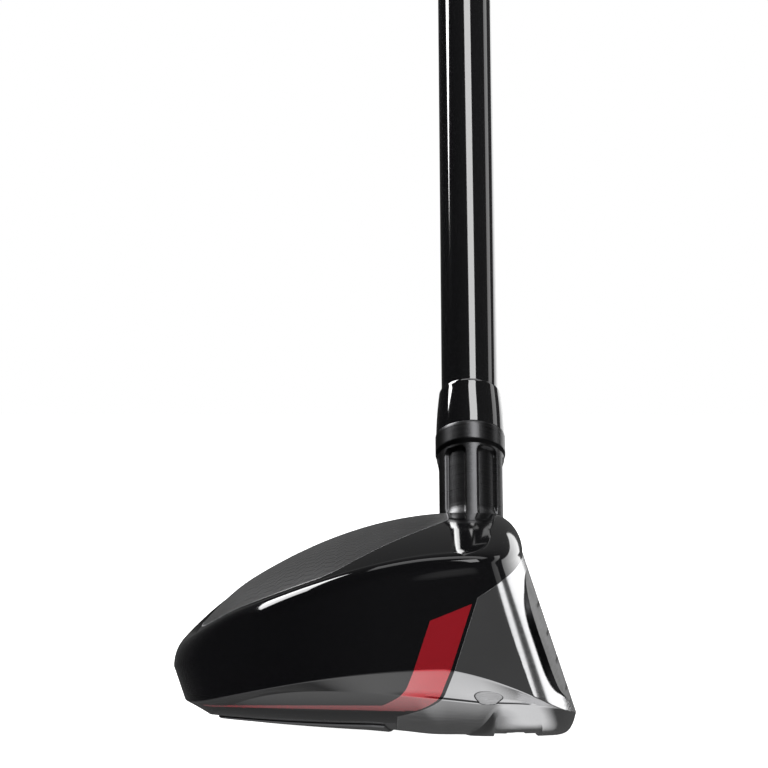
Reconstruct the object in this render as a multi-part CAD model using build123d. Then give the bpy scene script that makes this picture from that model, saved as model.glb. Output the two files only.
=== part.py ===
"""Hybrid golf club, right-handed, 19 degree loft, as an assembly of its separate pieces.

Frame: +Z is up, the club is soled at address on the plane Z = 0.  +X is the target
direction (the face looks along +X and up), +Y runs from toe to heel, and the shaft
leans over the heel in the plane X = 0.  The origin is the sole's rest point in that
plane.  All sizes are in millimetres.
"""

import math
import os

from build123d import *

# ---------------------------------------------------------------- head, outside
LOFT = 18.6                 # face angle from the vertical, degrees
LIE = 59.5                  # shaft angle from the ground, degrees
HEEL_POINT_Y = 27.0         # where the shaft axis meets the ground
LEADING_EDGE_X = 15.6       # foremost line of the face, at height LEADING_EDGE_Z
LEADING_EDGE_Z = 3.5
BULGE_RADIUS = 300.0        # heel-to-toe curve of the face
CROWN_HEIGHT = 35.0
RIDGE_INSET = 3.3           # width of the rounded edge between crown and side wall
TOE_CENTRE_X = -10.0        # where the head is longest on the toe side
SOLE_CENTRE_X = -3.0
CROWN_CENTRE_X = -12.0

# side outline at three levels: reach to the rear, the toe and the heel
WALL_TOP = dict(rear=-48.6, toe=-45.7, heel=50.3)
WALL_BOTTOM = dict(rear=-46.8, toe=-46.6, heel=42.0)
FACET_LOW = dict(rear=-42.8, toe=-38.5, heel=33.0)
# corner fullness of each quarter of the outline (2 is an ellipse, more is squarer)
FULL_TOE_FRONT = 7.0
FULL_TOE_REAR = 2.6
FULL_HEEL_REAR = 1.8
FULL_HEEL_FRONT = 4.0
POINTS_PER_QUARTER = 10

SOLE_SHARES = (0.16, 0.42, 0.66, 0.84, 0.92, 0.97)   # sole rings, as shares of its outline
CROWN_SHARES = (0.7, 0.35, 0.1)                      # crown rings, the same way
PANEL_SHARES = (0.8, 0.58, 0.35, 0.12)               # rings of the crown panel
PANEL_CENTRE_X = -26.0
PANEL_CORNER = 3.0                                   # how softly the panel's front meets its sides
RIDGE_TURNS = (0.3, 0.65)                            # steps round the crown's edge

# ---------------------------------------------------------------- head, inside and openings
CROWN_WALL = 2.1
SIDE_WALL = 1.5
FRONT_WALL = 3.2
SOLE_WALL = 3.0
PANEL_THICK = 1.0
GLUE_THICK = 0.2
PANEL_INSET = 1.2           # painted margin between the panel and the crown's edge
LEDGE_WIDTH = 4.5
FACE_THICK = 2.6
SCORE_HEIGHTS = (8.7, 13.0, 17.3, 21.6)
SCORE_HALF_LENGTH = 25.0
SCORE_WIDTH = 0.8
SCORE_DEPTH = 0.35

SLOT_X = (3.9, 7.0)         # the through slot behind the leading edge
SLOT_HALF_LENGTH = 26.0
CHANNEL_X = (1.9, 9.0)      # the shallow channel around the slot
CHANNEL_HALF_LENGTH = 36.0
CHANNEL_DEPTH = 0.4

PORT_CENTRE = (0.6, -40.2, 8.4)   # port in the lower toe facet
PORT_AXIS = (0.0, -0.47, -0.88)
PORT_RADIUS = 2.1
PORT_DEPTH = 2.6
MELT_CENTRE = (-22.0, -4.0)       # hot-melt weight on the cavity floor
MELT_RADIUS = 10.0
MELT_DEPTH = 2.0

# ---------------------------------------------------------------- hosel, shaft and grip
HOSEL_TOP = 53.9            # distances along the shaft axis from the ground point
RING_BOTTOM = 50.3
RING_CHAMFER = 0.7
FLUTE_TOP = 49.2
FLUTE_BOTTOM = 36.0
HOSEL_ROOT = 13.0
BORE_BOTTOM = 20.0
HOSEL_RADIUS = 5.88
RING_RADIUS = 6.1
BORE_RADIUS = 4.85
FLUTE_COUNT = 6
FLUTE_HALF_ANGLE = 21.0
FLUTE_DEPTH = 0.6

FERRULE_TOP = 62.9
FERRULE_RADII = (5.98, 5.32)
TIP_START = 21.0
TIP_RADIUS = 4.70           # bare shaft tip
SHAFT_RADIUS = 4.93         # painted, parallel part of the shaft
BUTT_RADIUS = 7.60
PARALLEL_END = 150.0
SHAFT_END = 1017.0
SHAFT_BORE_TIP = 2.6
SHAFT_BORE_BUTT = 6.5
TIP_WEIGHT_LENGTH = 14.0
CLUB_LENGTH = 1022.0        # ground point of the shaft axis to the end of the grip cap
GRIP_START = 754.0
GRIP_MOUTH_RADIUS = 8.9
GRIP_BUTT_RADIUS = 12.6
CAP_RADIUS = 14.8
CAP_THICK = 5.0
VENT_RADIUS = 1.6
TAPE_THICK = 0.15
TAPE_START = 757.0
LABEL_SPAN = (672.0, 742.0)
LABEL_THICK = 0.12

AXIS = Vector(0, math.cos(math.radians(LIE)), math.sin(math.radians(LIE)))
GROUND_POINT = Vector(0, HEEL_POINT_Y, 0)
AXIS_PLANE = Plane(origin=GROUND_POINT, x_dir=Vector(1, 0, 0), z_dir=AXIS)


# ---------------------------------------------------------------- head surface
def clamp(value, low=0.0, high=1.0):
    return max(low, min(high, value))


def face_x(y, z):
    """Where the face surface stands at a place across and up it."""
    lean = math.tan(math.radians(LOFT)) * (z - LEADING_EDGE_Z)
    return LEADING_EDGE_X - lean - y * y / (2 * BULGE_RADIUS)


def crown_z(x, y):
    rear_drop = 0.026 * max(0.0, -36.0 - x) ** 2
    return CROWN_HEIGHT - 0.009 * (x + 2.0) ** 2 - rear_drop - 0.0024 * y * y


def wall_top_z(x, y):
    return 28.6 + 0.07 * x - 0.0061 * x * x


def wall_bottom_z(x, y):
    d = x + 6.0
    if d > 0:
        return 13.3 - 0.16 * d - 0.012 * d * d
    return 13.3 - 0.0045 * d * d


def facet_low_z(x, y):
    rise = 0.0026 + 0.00008 * max(0.0, -x)
    return 3.7 + 0.017 * min(0.0, x) + rise * y * y


def sole_z(x, y):
    """The sole inside its outline: flat under the shaft, then rising to the rear and both sides."""
    rear = 0.0124 * max(0.0, -8.0 - x) ** 1.5
    front = 0.002 * max(0.0, x - 3.0) ** 2
    return rear + front + 0.0026 * y * y


def quarter(fullness, count):
    """Corner curve from (1, 0) towards (0, 1), as points spread evenly along it."""
    dense = []
    for i in range(401):
        a = math.pi / 2 * i / 400
        dense.append((math.cos(a) ** (2 / fullness), math.sin(a) ** (2 / fullness)))
    lengths = [0.0]
    for p, q in zip(dense, dense[1:]):
        lengths.append(lengths[-1] + math.dist(p, q))
    points = []
    j = 0
    for i in range(count):
        target = lengths[-1] * i / count
        while lengths[j + 1] < target:
            j += 1
        t = (target - lengths[j]) / (lengths[j + 1] - lengths[j])
        points.append(tuple(a + t * (b - a) for a, b in zip(dense[j], dense[j + 1])))
    return points


def unit_outline():
    """The outline's unit shape, a (forward, heelward) pair for each point, going round by the toe."""
    n = POINTS_PER_QUARTER
    toe_front = [(u, -v) for u, v in quarter(FULL_TOE_FRONT, n)]
    toe_rear = [(-v, -u) for u, v in quarter(FULL_TOE_REAR, n)]
    heel_rear = [(-u, v) for u, v in quarter(FULL_HEEL_REAR, n)]
    heel_front = [(v, u) for u, v in quarter(FULL_HEEL_FRONT, n)]
    return toe_front + toe_rear + heel_rear + heel_front


UNIT = unit_outline()


def outline_point(u, v, level, height, inset, front_inset):
    """One point of a level's outline, moved inwards by the insets."""
    reach = level["heel"] if v > 0 else -level["toe"]
    y = v * (reach - inset)
    centre = TOE_CENTRE_X if v < 0 else 0.0
    centre += (SOLE_CENTRE_X - centre) * (1 - abs(v)) ** 2
    if u > 0:
        x = centre
        for _ in range(5):
            x = centre + u * (face_x(y, height(x, y)) - front_inset - centre)
    else:
        x = centre - u * (level["rear"] + inset - centre)
    return Vector(x, y, height(x, y))


def level_ring(level, height, inset=0.0, front_inset=0.0):
    return [outline_point(u, v, level, height, inset, front_inset) for u, v in UNIT]


def shrunk(ring, centre_x, share, height):
    """The ring drawn in towards a centre, laid on a height formula."""
    result = []
    for p in ring:
        x = centre_x + share * (p.X - centre_x)
        y = share * p.Y
        result.append(Vector(x, y, height(x, y, p)))
    return result


def level_ground(ring, z=None):
    if z is None:
        z = sum(p.Z for p in ring) / len(ring)
    return [Vector(p.X, p.Y, z) for p in ring]


def outside_rings():
    """Rings of the head's outside, from the sole's middle to the crown's edge."""
    return side_rings(0.0, 0.0, 0.0, 0.0)


def inside_rings():
    """Rings of the head's hollow, the same way."""
    return side_rings(SIDE_WALL, FRONT_WALL, CROWN_WALL, SOLE_WALL)


def side_rings(side, front, crown, sole):
    """Rings from the sole's middle to the crown's edge, inside the outside by the wall thicknesses."""
    low = level_ring(FACET_LOW, facet_low_z, side, front)
    rings = []
    for share in SOLE_SHARES:
        def height(x, y, edge):
            power = 1.6 + 24.0 * clamp((edge.X - 2.0) / 10.0)
            return sole_z(x, y) + (edge.Z - sole_z(edge.X, edge.Y)) * share ** power + sole
        rings.append(shrunk(low, SOLE_CENTRE_X, share, height))
    rings[0] = level_ground(rings[0], sole)
    rings.append([p + Vector(0, 0, sole * 0.8) for p in low])
    foot = level_ring(WALL_BOTTOM, wall_bottom_z, side, front)
    rings.append([p + Vector(0, 0, sole * 0.3) for p in foot])
    top = level_ring(WALL_TOP, wall_top_z, side, front)
    rings.append([a + (b - a) * 0.5 for a, b in zip(rings[-1], top)])
    rings.append(top)
    edge = level_ring(WALL_TOP, crown_z, side + RIDGE_INSET, front + RIDGE_INSET)
    edge = [p - Vector(0, 0, crown) for p in edge]
    for turn in RIDGE_TURNS:
        along = 1 - math.cos(math.pi / 2 * turn)
        up = math.sin(math.pi / 2 * turn)
        ring = []
        for a, b in zip(top, edge):
            ring.append(Vector(a.X + (b.X - a.X) * along, a.Y + (b.Y - a.Y) * along, a.Z + (b.Z - a.Z) * up))
        rings.append(ring)
    rings.append(edge)
    return rings


def crown_rings(edge, depth):
    """Rings that close the crown from its edge to its middle, at a depth under its outside."""
    rings = []
    for share in CROWN_SHARES:
        rings.append(shrunk(edge, CROWN_CENTRE_X, share, lambda x, y, p: crown_z(x, y) - depth))
    rings[-1] = level_ground(rings[-1])
    return rings


def panel_front_x(y):
    """The crown panel's front edge, a shield shape swept back to both sides."""
    return -5.0 - 0.09 * max(0.0, abs(y) - 12.0) ** 1.6


def reach_of_outline(ring, dx, dy):
    """Distance from the panel's middle along a unit direction to an outline."""
    reach = 0.0
    for p, q in zip(ring, ring[1:] + ring[:1]):
        side_p = dx * p.Y - dy * (p.X - PANEL_CENTRE_X)
        side_q = dx * q.Y - dy * (q.X - PANEL_CENTRE_X)
        if side_p * side_q <= 0 and side_p != side_q:
            share = side_p / (side_p - side_q)
            x = p.X + share * (q.X - p.X) - PANEL_CENTRE_X
            y = p.Y + share * (q.Y - p.Y)
            reach = max(reach, x * dx + y * dy)
    return reach


def reach_of_front(dx, dy, inset):
    """Distance from the panel's middle along a unit direction to its front edge."""
    low = 0.0
    high = 120.0
    for _ in range(40):
        reach = (low + high) / 2
        if PANEL_CENTRE_X + reach * dx < panel_front_x(reach * dy) - inset:
            low = reach
        else:
            high = reach
    return low


def panel_ring(inset, depth):
    """The panel's outline on the crown, drawn in by an inset, at a depth under the outside."""
    margin = RIDGE_INSET + PANEL_INSET + inset
    outline = level_ring(WALL_TOP, crown_z, margin, margin)
    ring = []
    for i, p in enumerate(outline):
        even = -2 * math.pi * i / len(outline)
        own = math.atan2(p.Y, p.X - PANEL_CENTRE_X)
        if i > 0 and own > 0:
            own -= 2 * math.pi
        angle = (even + own) / 2
        dx = math.cos(angle)
        dy = math.sin(angle)
        side = reach_of_outline(outline, dx, dy)
        front = reach_of_front(dx, dy, inset)
        overlap = max(0.0, 1.0 - abs(side - front) / PANEL_CORNER)
        reach = min(side, front) - overlap * overlap * PANEL_CORNER / 4
        x = PANEL_CENTRE_X + reach * dx
        y = reach * dy
        ring.append(Vector(x, y, crown_z(x, y) - depth))
    return ring


def panel_rings(depth):
    """Rings from the panel's outline to its middle."""
    edge = panel_ring(0.0, depth)
    rings = [edge]
    for share in PANEL_SHARES:
        rings.append(shrunk(edge, PANEL_CENTRE_X, share, lambda x, y, p: crown_z(x, y) - depth))
    rings[-1] = level_ground(rings[-1])
    return rings


def shell_rings():
    """Rings up the outside to the panel's opening, over its ledge, and down the inside to the floor."""
    outside = outside_rings()
    inside = inside_rings()
    opening = panel_ring(0.0, 0.0)
    between = [a + (b - a) * 0.5 for a, b in zip(outside[-1], opening)]
    margin = [Vector(p.X, p.Y, crown_z(p.X, p.Y)) for p in between]
    ledge_depth = PANEL_THICK + GLUE_THICK
    ledge = [panel_ring(0.0, ledge_depth), panel_ring(LEDGE_WIDTH, ledge_depth), panel_ring(LEDGE_WIDTH, CROWN_WALL)]
    return outside + [margin, opening] + ledge + inside[::-1]


def ring_wire(points):
    return Wire([Edge.make_spline(points, periodic=True)])


def ring_solid(rings):
    return Solid.make_loft([ring_wire(r) for r in rings], ruled=True)


# ---------------------------------------------------------------- cutting shapes
def panel_prism(inset):
    """Upright prism over the panel's outline drawn in by an inset."""
    return extrude(Face(ring_wire(level_ground(panel_ring(inset, 0.0), 14))), amount=36, dir=Vector(0, 0, 1))


def stadium(x_span, half_length):
    """Upright prism of a round-ended slot across the sole."""
    width = x_span[1] - x_span[0]
    middle = (x_span[0] + x_span[1]) / 2
    outline = SlotOverall(2 * half_length, width, rotation=90)
    return Pos(middle, 0, -5) * extrude(outline, amount=17)


def channel_cut():
    """The shallow channel, whose floor follows the sole's curve from toe to heel."""
    ys = [-60 + 6 * i for i in range(21)]
    floor = Edge.make_spline([Vector(-10, y, sole_z(0.0, y) + CHANNEL_DEPTH) for y in ys])
    a = floor @ 0
    b = floor @ 1
    corners = [b, Vector(-10, b.Y, -8), Vector(-10, a.Y, -8), a]
    sides = [Edge.make_line(p, q) for p, q in zip(corners, corners[1:])]
    under_floor = extrude(Face(Wire([floor] + sides)), amount=40, dir=Vector(1, 0, 0))
    return under_floor & stadium(CHANNEL_X, CHANNEL_HALF_LENGTH)


def face_prism():
    """Prism along X of the face plate's outline."""
    outline = Polygon((-38, 10), (-38.5, 22.5), (-30, 26.5), (0, 27.4), (18, 25.5), (32, 18.5), (32, 10), (22, 6.4),
                      (-24, 6.6), align=None)
    area = fillet(outline.vertices(), 4)
    return extrude(Plane.YZ * area, amount=40, dir=Vector(1, 0, 0))


def behind_face(depth):
    """Everything behind the face surface set back by a depth along X."""
    points = [Vector(face_x(y, 0) - depth, y, 0) for y in range(-60, 61, 10)]
    bulge = Edge.make_spline(points)
    back = [points[-1], Vector(-80, 60, 0), Vector(-80, -60, 0), points[0]]
    sides = [Edge.make_line(p, q) for p, q in zip(back, back[1:])]
    lean = Vector(-math.tan(math.radians(LOFT)), 0, 1)
    return extrude(Face(Wire([bulge] + sides)), amount=40 * lean.length, dir=lean)


def turned(profile):
    """Solid turned about the shaft axis from (radius, distance along the axis) corners."""
    area = Face(Wire.make_polygon([Vector(r, 0, t) for r, t in profile], close=True))
    return AXIS_PLANE.location * revolve(area, Axis.Z, 360)


def tube(start, end, outer, inner):
    """Tapering tube; outer and inner are (radius at the start, radius at the end)."""
    return turned([(inner[0], start), (outer[0], start), (outer[1], end), (inner[1], end)])


def plain_rod(start, end, radius):
    return turned([(0, start), (radius, start), (radius, end), (0, end)])


def flute(index):
    """One recess of the fluted hosel."""
    inner = HOSEL_RADIUS - FLUTE_DEPTH
    a = math.radians(FLUTE_HALF_ANGLE)
    corners = []
    for radius, side in ((inner, -1), (8.0, -1), (8.0, 1), (inner, 1)):
        corners.append(Vector(radius * math.cos(a), side * radius * math.sin(a), 0))
    near = Edge.make_three_point_arc(corners[3], Vector(inner, 0, 0), corners[0])
    sides = [Edge.make_line(p, q) for p, q in zip(corners, corners[1:])]
    block = extrude(Face(Wire(sides + [near])), amount=FLUTE_TOP - FLUTE_BOTTOM, dir=Vector(0, 0, 1))
    turn = Location((0, 0, FLUTE_BOTTOM), (0, 0, 360.0 * index / FLUTE_COUNT))
    return AXIS_PLANE.location * turn * block


# ---------------------------------------------------------------- head pieces
def hosel():
    """Outside of the hosel with its collar."""
    profile = [(0, HOSEL_ROOT), (HOSEL_RADIUS, HOSEL_ROOT), (HOSEL_RADIUS, RING_BOTTOM - RING_CHAMFER),
               (RING_RADIUS, RING_BOTTOM), (RING_RADIUS, HOSEL_TOP), (0, HOSEL_TOP)]
    return turned(profile)


def only(shape):
    """The one solid of a shape."""
    solids = sorted(shape.solids(), key=lambda s: s.volume)
    return solids[-1]


def face_plate():
    plate = (face_prism() & behind_face(0.0)) - behind_face(FACE_THICK)
    for z in SCORE_HEIGHTS:
        line = Pos(8, 0, z) * Box(30, 2 * SCORE_HALF_LENGTH, SCORE_WIDTH)
        plate = plate - (line - behind_face(SCORE_DEPTH))
    return only(plate)


def crown_panel():
    under = panel_rings(PANEL_THICK)
    return ring_solid(under[::-1] + panel_rings(0.0))


def crown_adhesive():
    depth = PANEL_THICK + GLUE_THICK
    disc = ring_solid(panel_rings(depth)[::-1] + panel_rings(PANEL_THICK))
    return only(disc - panel_prism(LEDGE_WIDTH))


def head_body():
    """The casting: walls, ledge and hosel, with its openings."""
    port_plane = Plane(origin=Vector(*PORT_CENTRE), z_dir=Vector(*PORT_AXIS))
    cuts = {
        "slot": stadium(SLOT_X, SLOT_HALF_LENGTH),
        "channel": channel_cut(),
        "face opening": face_prism() - behind_face(FRONT_WALL + 1.5),
        "port": port_plane.location * Pos(0, 0, 3 - 4) * Cylinder(PORT_RADIUS, 8),
    }
    body = ring_solid(shell_rings())
    for tool in cuts.values():
        body = body - tool
    neck = hosel()
    for i in range(FLUTE_COUNT):
        neck = neck - flute(i)
    body = body + neck
    return only(body - plain_rod(BORE_BOTTOM, HOSEL_TOP + 1, BORE_RADIUS))


def head_pieces():
    outside = outside_rings()
    inside = inside_rings()
    outer = ring_solid(outside + crown_rings(outside[-1], 0.0))
    cavity = ring_solid(inside + crown_rings(inside[-1], CROWN_WALL))

    slot = stadium(SLOT_X, SLOT_HALF_LENGTH)
    insert = only((slot & (Pos(0, 0, CHANNEL_DEPTH + 0.2) * outer)) - cavity)
    port_plane = Plane(origin=Vector(*PORT_CENTRE), z_dir=Vector(*PORT_AXIS))
    plug_rod = port_plane.location * Pos(0, 0, -PORT_DEPTH / 2 + 1) * Cylinder(PORT_RADIUS, PORT_DEPTH + 2)
    melt_area = Pos(MELT_CENTRE[0], MELT_CENTRE[1], 8) * Cylinder(MELT_RADIUS, 16)
    melt = only((cavity & melt_area) - Pos(0, 0, MELT_DEPTH) * cavity)
    return {"head_body": head_body(), "face_plate": face_plate(), "crown_panel": crown_panel(),
            "crown_adhesive": crown_adhesive(), "slot_insert": insert, "port_plug": only(plug_rod & outer),
            "hot_melt_weight": melt}


# ---------------------------------------------------------------- shaft pieces
def shaft_radius(t):
    return SHAFT_RADIUS + (BUTT_RADIUS - SHAFT_RADIUS) * clamp((t - PARALLEL_END) / (SHAFT_END - PARALLEL_END))


def shaft_pieces():
    profile = [(SHAFT_BORE_TIP, TIP_START), (TIP_RADIUS, TIP_START), (TIP_RADIUS, FERRULE_TOP),
               (SHAFT_RADIUS, FERRULE_TOP), (SHAFT_RADIUS, PARALLEL_END), (BUTT_RADIUS, SHAFT_END),
               (SHAFT_BORE_BUTT, SHAFT_END), (SHAFT_BORE_TIP, PARALLEL_END)]
    epoxy = turned([(0, BORE_BOTTOM), (BORE_RADIUS, BORE_BOTTOM), (BORE_RADIUS, HOSEL_TOP), (TIP_RADIUS, HOSEL_TOP),
                    (TIP_RADIUS, TIP_START), (0, TIP_START)])
    low, high = FERRULE_RADII
    lip = 0.3
    ferrule = turned([(TIP_RADIUS, HOSEL_TOP), (low, HOSEL_TOP), (high, FERRULE_TOP - lip), (high - lip, FERRULE_TOP),
                      (TIP_RADIUS, FERRULE_TOP)])
    tip_weight = plain_rod(TIP_START, TIP_START + TIP_WEIGHT_LENGTH, SHAFT_BORE_TIP)
    start, end = LABEL_SPAN
    inner = (shaft_radius(start), shaft_radius(end))
    label = tube(start, end, tuple(r + LABEL_THICK for r in inner), inner)
    return {"ferrule": ferrule, "hosel_epoxy": epoxy, "tip_weight": tip_weight, "shaft": turned(profile),
            "shaft_label": label}


def grip_pieces():
    inner = (shaft_radius(TAPE_START), BUTT_RADIUS)
    taped = tuple(r + TAPE_THICK for r in inner)
    tape = tube(TAPE_START, SHAFT_END, taped, inner)
    mouth = shaft_radius(GRIP_START) + LABEL_THICK
    cap_start = CLUB_LENGTH - CAP_THICK
    grip = turned([(mouth, GRIP_START), (GRIP_MOUTH_RADIUS - 0.5, GRIP_START), (GRIP_MOUTH_RADIUS, GRIP_START + 1.5),
                   (GRIP_BUTT_RADIUS, cap_start), (taped[1], cap_start), (taped[0], TAPE_START), (mouth, TAPE_START)])
    lip = 1.0
    cap = turned([(VENT_RADIUS, cap_start), (CAP_RADIUS - lip, cap_start), (CAP_RADIUS, cap_start + lip),
                  (CAP_RADIUS, CLUB_LENGTH - lip), (CAP_RADIUS - lip, CLUB_LENGTH), (VENT_RADIUS, CLUB_LENGTH)])
    return {"grip_tape": tape, "grip": grip, "grip_cap": cap}


if __name__ == "__main__":
    os.makedirs("parts", exist_ok=True)
    pieces = {}
    pieces.update(head_pieces())
    pieces.update(shaft_pieces())
    pieces.update(grip_pieces())
    for name, shape in pieces.items():
        solids = shape.solids()
        print(name, "solids", len(solids), "valid", all(s.is_valid for s in solids), "cm3", round(shape.volume / 1000, 3))
        export_step(shape, f"parts/{name}.step")
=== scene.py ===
"""The looks of a hybrid golf club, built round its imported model.

The frame is the model's own: metres, Z up, the club soled at address on Z = 0, X the target
direction, Y from toe to heel.  Lengths in the classes below are in millimetres, and turn into
metres when a mesh is made.
"""

from __future__ import annotations

import logging
import math
from contextlib import contextmanager
from dataclasses import dataclass, field
from enum import Enum
from typing import Callable, Iterator, Sequence

import bmesh
import bpy
import numpy as np
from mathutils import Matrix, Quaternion, Vector
from mathutils.bvhtree import BVHTree


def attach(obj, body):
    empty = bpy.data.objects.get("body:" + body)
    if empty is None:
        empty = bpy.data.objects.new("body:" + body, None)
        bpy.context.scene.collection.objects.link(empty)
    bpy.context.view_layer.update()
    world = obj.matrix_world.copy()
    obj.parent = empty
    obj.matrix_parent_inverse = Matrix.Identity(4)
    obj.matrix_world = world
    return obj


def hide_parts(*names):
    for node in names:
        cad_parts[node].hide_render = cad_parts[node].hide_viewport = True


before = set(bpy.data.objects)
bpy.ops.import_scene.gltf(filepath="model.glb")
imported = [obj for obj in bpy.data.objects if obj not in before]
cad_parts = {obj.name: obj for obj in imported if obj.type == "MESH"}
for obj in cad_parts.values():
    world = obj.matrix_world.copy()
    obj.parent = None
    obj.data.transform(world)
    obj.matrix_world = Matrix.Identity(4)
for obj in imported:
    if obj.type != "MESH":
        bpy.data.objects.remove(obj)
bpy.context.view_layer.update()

MM = 0.001
LOG = logging.getLogger("club")
Colour = tuple[float, float, float]
RANGE_SOCKETS = ("From Min", "From Max", "To Min", "To Max")


class Brushing(Enum):
    """Which way metal is brushed."""

    ROUND_SHAFT = "round the shaft"
    ACROSS_FACE = "across the face"


# ------------------------------------------------------------------ small helpers


def step(value: np.ndarray) -> np.ndarray:
    """Smooth step from 0 to 1.

    Args:
        value: Position along the step, any shape.
    Returns:
        The eased value, the same shape.
    """
    t = np.clip(value, 0.0, 1.0)
    return t * t * (3.0 - 2.0 * t)


def make_object(
    name: str, points: np.ndarray, faces: Sequence[Sequence[int]], smooth: bool = True
) -> bpy.types.Object:
    """Make a mesh object from points in millimetres.

    Args:
        name: The piece's name.
        points: Array of points, one row each.
        faces: Corner numbers of each face.
        smooth: Whether the faces are shaded smooth.
    Returns:
        The new object, linked into the scene.
    """
    mesh = bpy.data.meshes.new(name)
    mesh.from_pydata((np.asarray(points) * MM).tolist(), [], [list(f) for f in faces])
    mesh.update()
    obj = bpy.data.objects.new(name, mesh)
    bpy.context.scene.collection.objects.link(obj)
    for poly in mesh.polygons:
        poly.use_smooth = smooth
    return obj


def grid_faces(rings: int, around: int, looped: bool = False) -> list[tuple[int, int, int, int]]:
    """Quads between neighbouring rings of points.

    Args:
        rings: How many rings.
        around: Points in each ring.
        looped: Whether the last ring joins the first.
    Returns:
        The quads, facing outwards for rings that climb while running anticlockwise.
    """
    faces = []
    for i in range(rings if looped else rings - 1):
        a, b = i * around, (i + 1) % rings * around
        for j in range(around):
            k = (j + 1) % around
            faces.append((a + j, a + k, b + k, b + j))
    return faces


def small_round(
    a: np.ndarray, corner: np.ndarray, b: np.ndarray, count: int
) -> list[np.ndarray]:
    """Points of a curve from a to b that bends towards a corner."""
    return [
        (1 - t) ** 2 * a + 2 * t * (1 - t) * corner + t * t * b for t in np.linspace(0, 1, count)
    ]


@contextmanager
def editing(obj: bpy.types.Object) -> Iterator[bmesh.types.BMesh]:
    """Open a piece's mesh for editing, and write it back afterwards."""
    bm = bmesh.new()
    bm.from_mesh(obj.data)
    yield bm
    bm.to_mesh(obj.data)
    bm.free()


def outwards(obj: bpy.types.Object) -> None:
    """Turn the faces of a piece's shells to look outwards."""
    with editing(obj) as bm:
        bmesh.ops.recalc_face_normals(bm, faces=bm.faces)


def lidded(name: str, rows: Sequence, backwards: bool = True) -> bpy.types.Object:
    """Make a closed plate from rings of points.

    Args:
        name: The piece's name.
        rows: The rings, from the one under the rim to the innermost.
        backwards: Whether the first ring's face lists its points backwards.
    Returns:
        The plate, its first ring filled and its last ring closed by a fan.
    """
    rings = np.array(rows)
    count, around, _ = rings.shape
    points = np.concatenate([rings.reshape(-1, 3), [rings[-1].mean(axis=0)]])
    last = (count - 1) * around
    faces: list[tuple[int, ...]] = list(grid_faces(count, around))
    faces += [(last + j, last + (j + 1) % around, len(points) - 1) for j in range(around)]
    faces.append(tuple(reversed(range(around)) if backwards else range(around)))
    plate = make_object(name, points, faces)
    outwards(plate)
    return plate


def prism(near: np.ndarray, far: np.ndarray) -> bpy.types.Object:
    """A cutting block between two outlines with as many points."""
    n = len(near)
    faces = [*grid_faces(2, n), tuple(reversed(range(n))), tuple(range(n, 2 * n))]
    tool = make_object("tool", np.concatenate([near, far]), faces)
    outwards(tool)
    return tool


def settle(obj: bpy.types.Object) -> None:
    """Apply an object's modifiers to its mesh."""
    graph = bpy.context.evaluated_depsgraph_get()
    mesh = bpy.data.meshes.new_from_object(obj.evaluated_get(graph), depsgraph=graph)
    name = obj.data.name
    obj.modifiers.clear()
    old = obj.data
    obj.data = mesh
    bpy.data.meshes.remove(old)
    mesh.name = name


def sharpen(obj: bpy.types.Object, angle: float = 30.0) -> None:
    """Shade smooth, with hard edges kept over an angle in degrees."""
    for poly in obj.data.polygons:
        poly.use_smooth = True
    obj.data.set_sharp_from_angle(angle=math.radians(angle))


def cut(obj: bpy.types.Object, tool: bpy.types.Object) -> None:
    """Cut one piece with another, and delete the tool."""
    change = obj.modifiers.new("cut", "BOOLEAN")
    change.solver = "EXACT"
    change.operation = "DIFFERENCE"
    change.object = tool
    settle(obj)
    bpy.data.objects.remove(tool)


def join(name: str, parts: Sequence[bpy.types.Object]) -> bpy.types.Object:
    """Join objects into one piece, keeping each one's materials.

    Args:
        name: The joined piece's name.
        parts: The objects, which go into the first.
    Returns:
        The joined piece.
    """
    bm = bmesh.new()
    materials: list[bpy.types.Material] = []
    for part in parts:
        start = len(bm.faces)
        bm.from_mesh(part.data)
        bm.faces.ensure_lookup_table()
        slots = []
        for material in part.data.materials:
            if material not in materials:
                materials.append(material)
            slots.append(materials.index(material))
        for face in bm.faces[start:]:
            if slots:
                face.material_index = slots[min(face.material_index, len(slots) - 1)]
    mesh = bpy.data.meshes.new(name)
    bm.to_mesh(mesh)
    bm.free()
    for material in materials:
        mesh.materials.append(material)
    obj = bpy.data.objects.new(name, mesh)
    bpy.context.scene.collection.objects.link(obj)
    for part in parts:
        bpy.data.objects.remove(part)
    return obj


def dress(obj: bpy.types.Object, material: bpy.types.Material) -> bpy.types.Object:
    """Give a piece one material all over."""
    obj.data.materials.clear()
    obj.data.materials.append(material)
    return obj


def stand_in(obj: bpy.types.Object, slot: str, *nodes: str) -> bpy.types.Object:
    """Let a piece ride on the club and stand for the model's nodes."""
    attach(obj, "root")
    if nodes:
        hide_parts(*nodes)
    return obj


# ------------------------------------------------------------------ finishes


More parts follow.
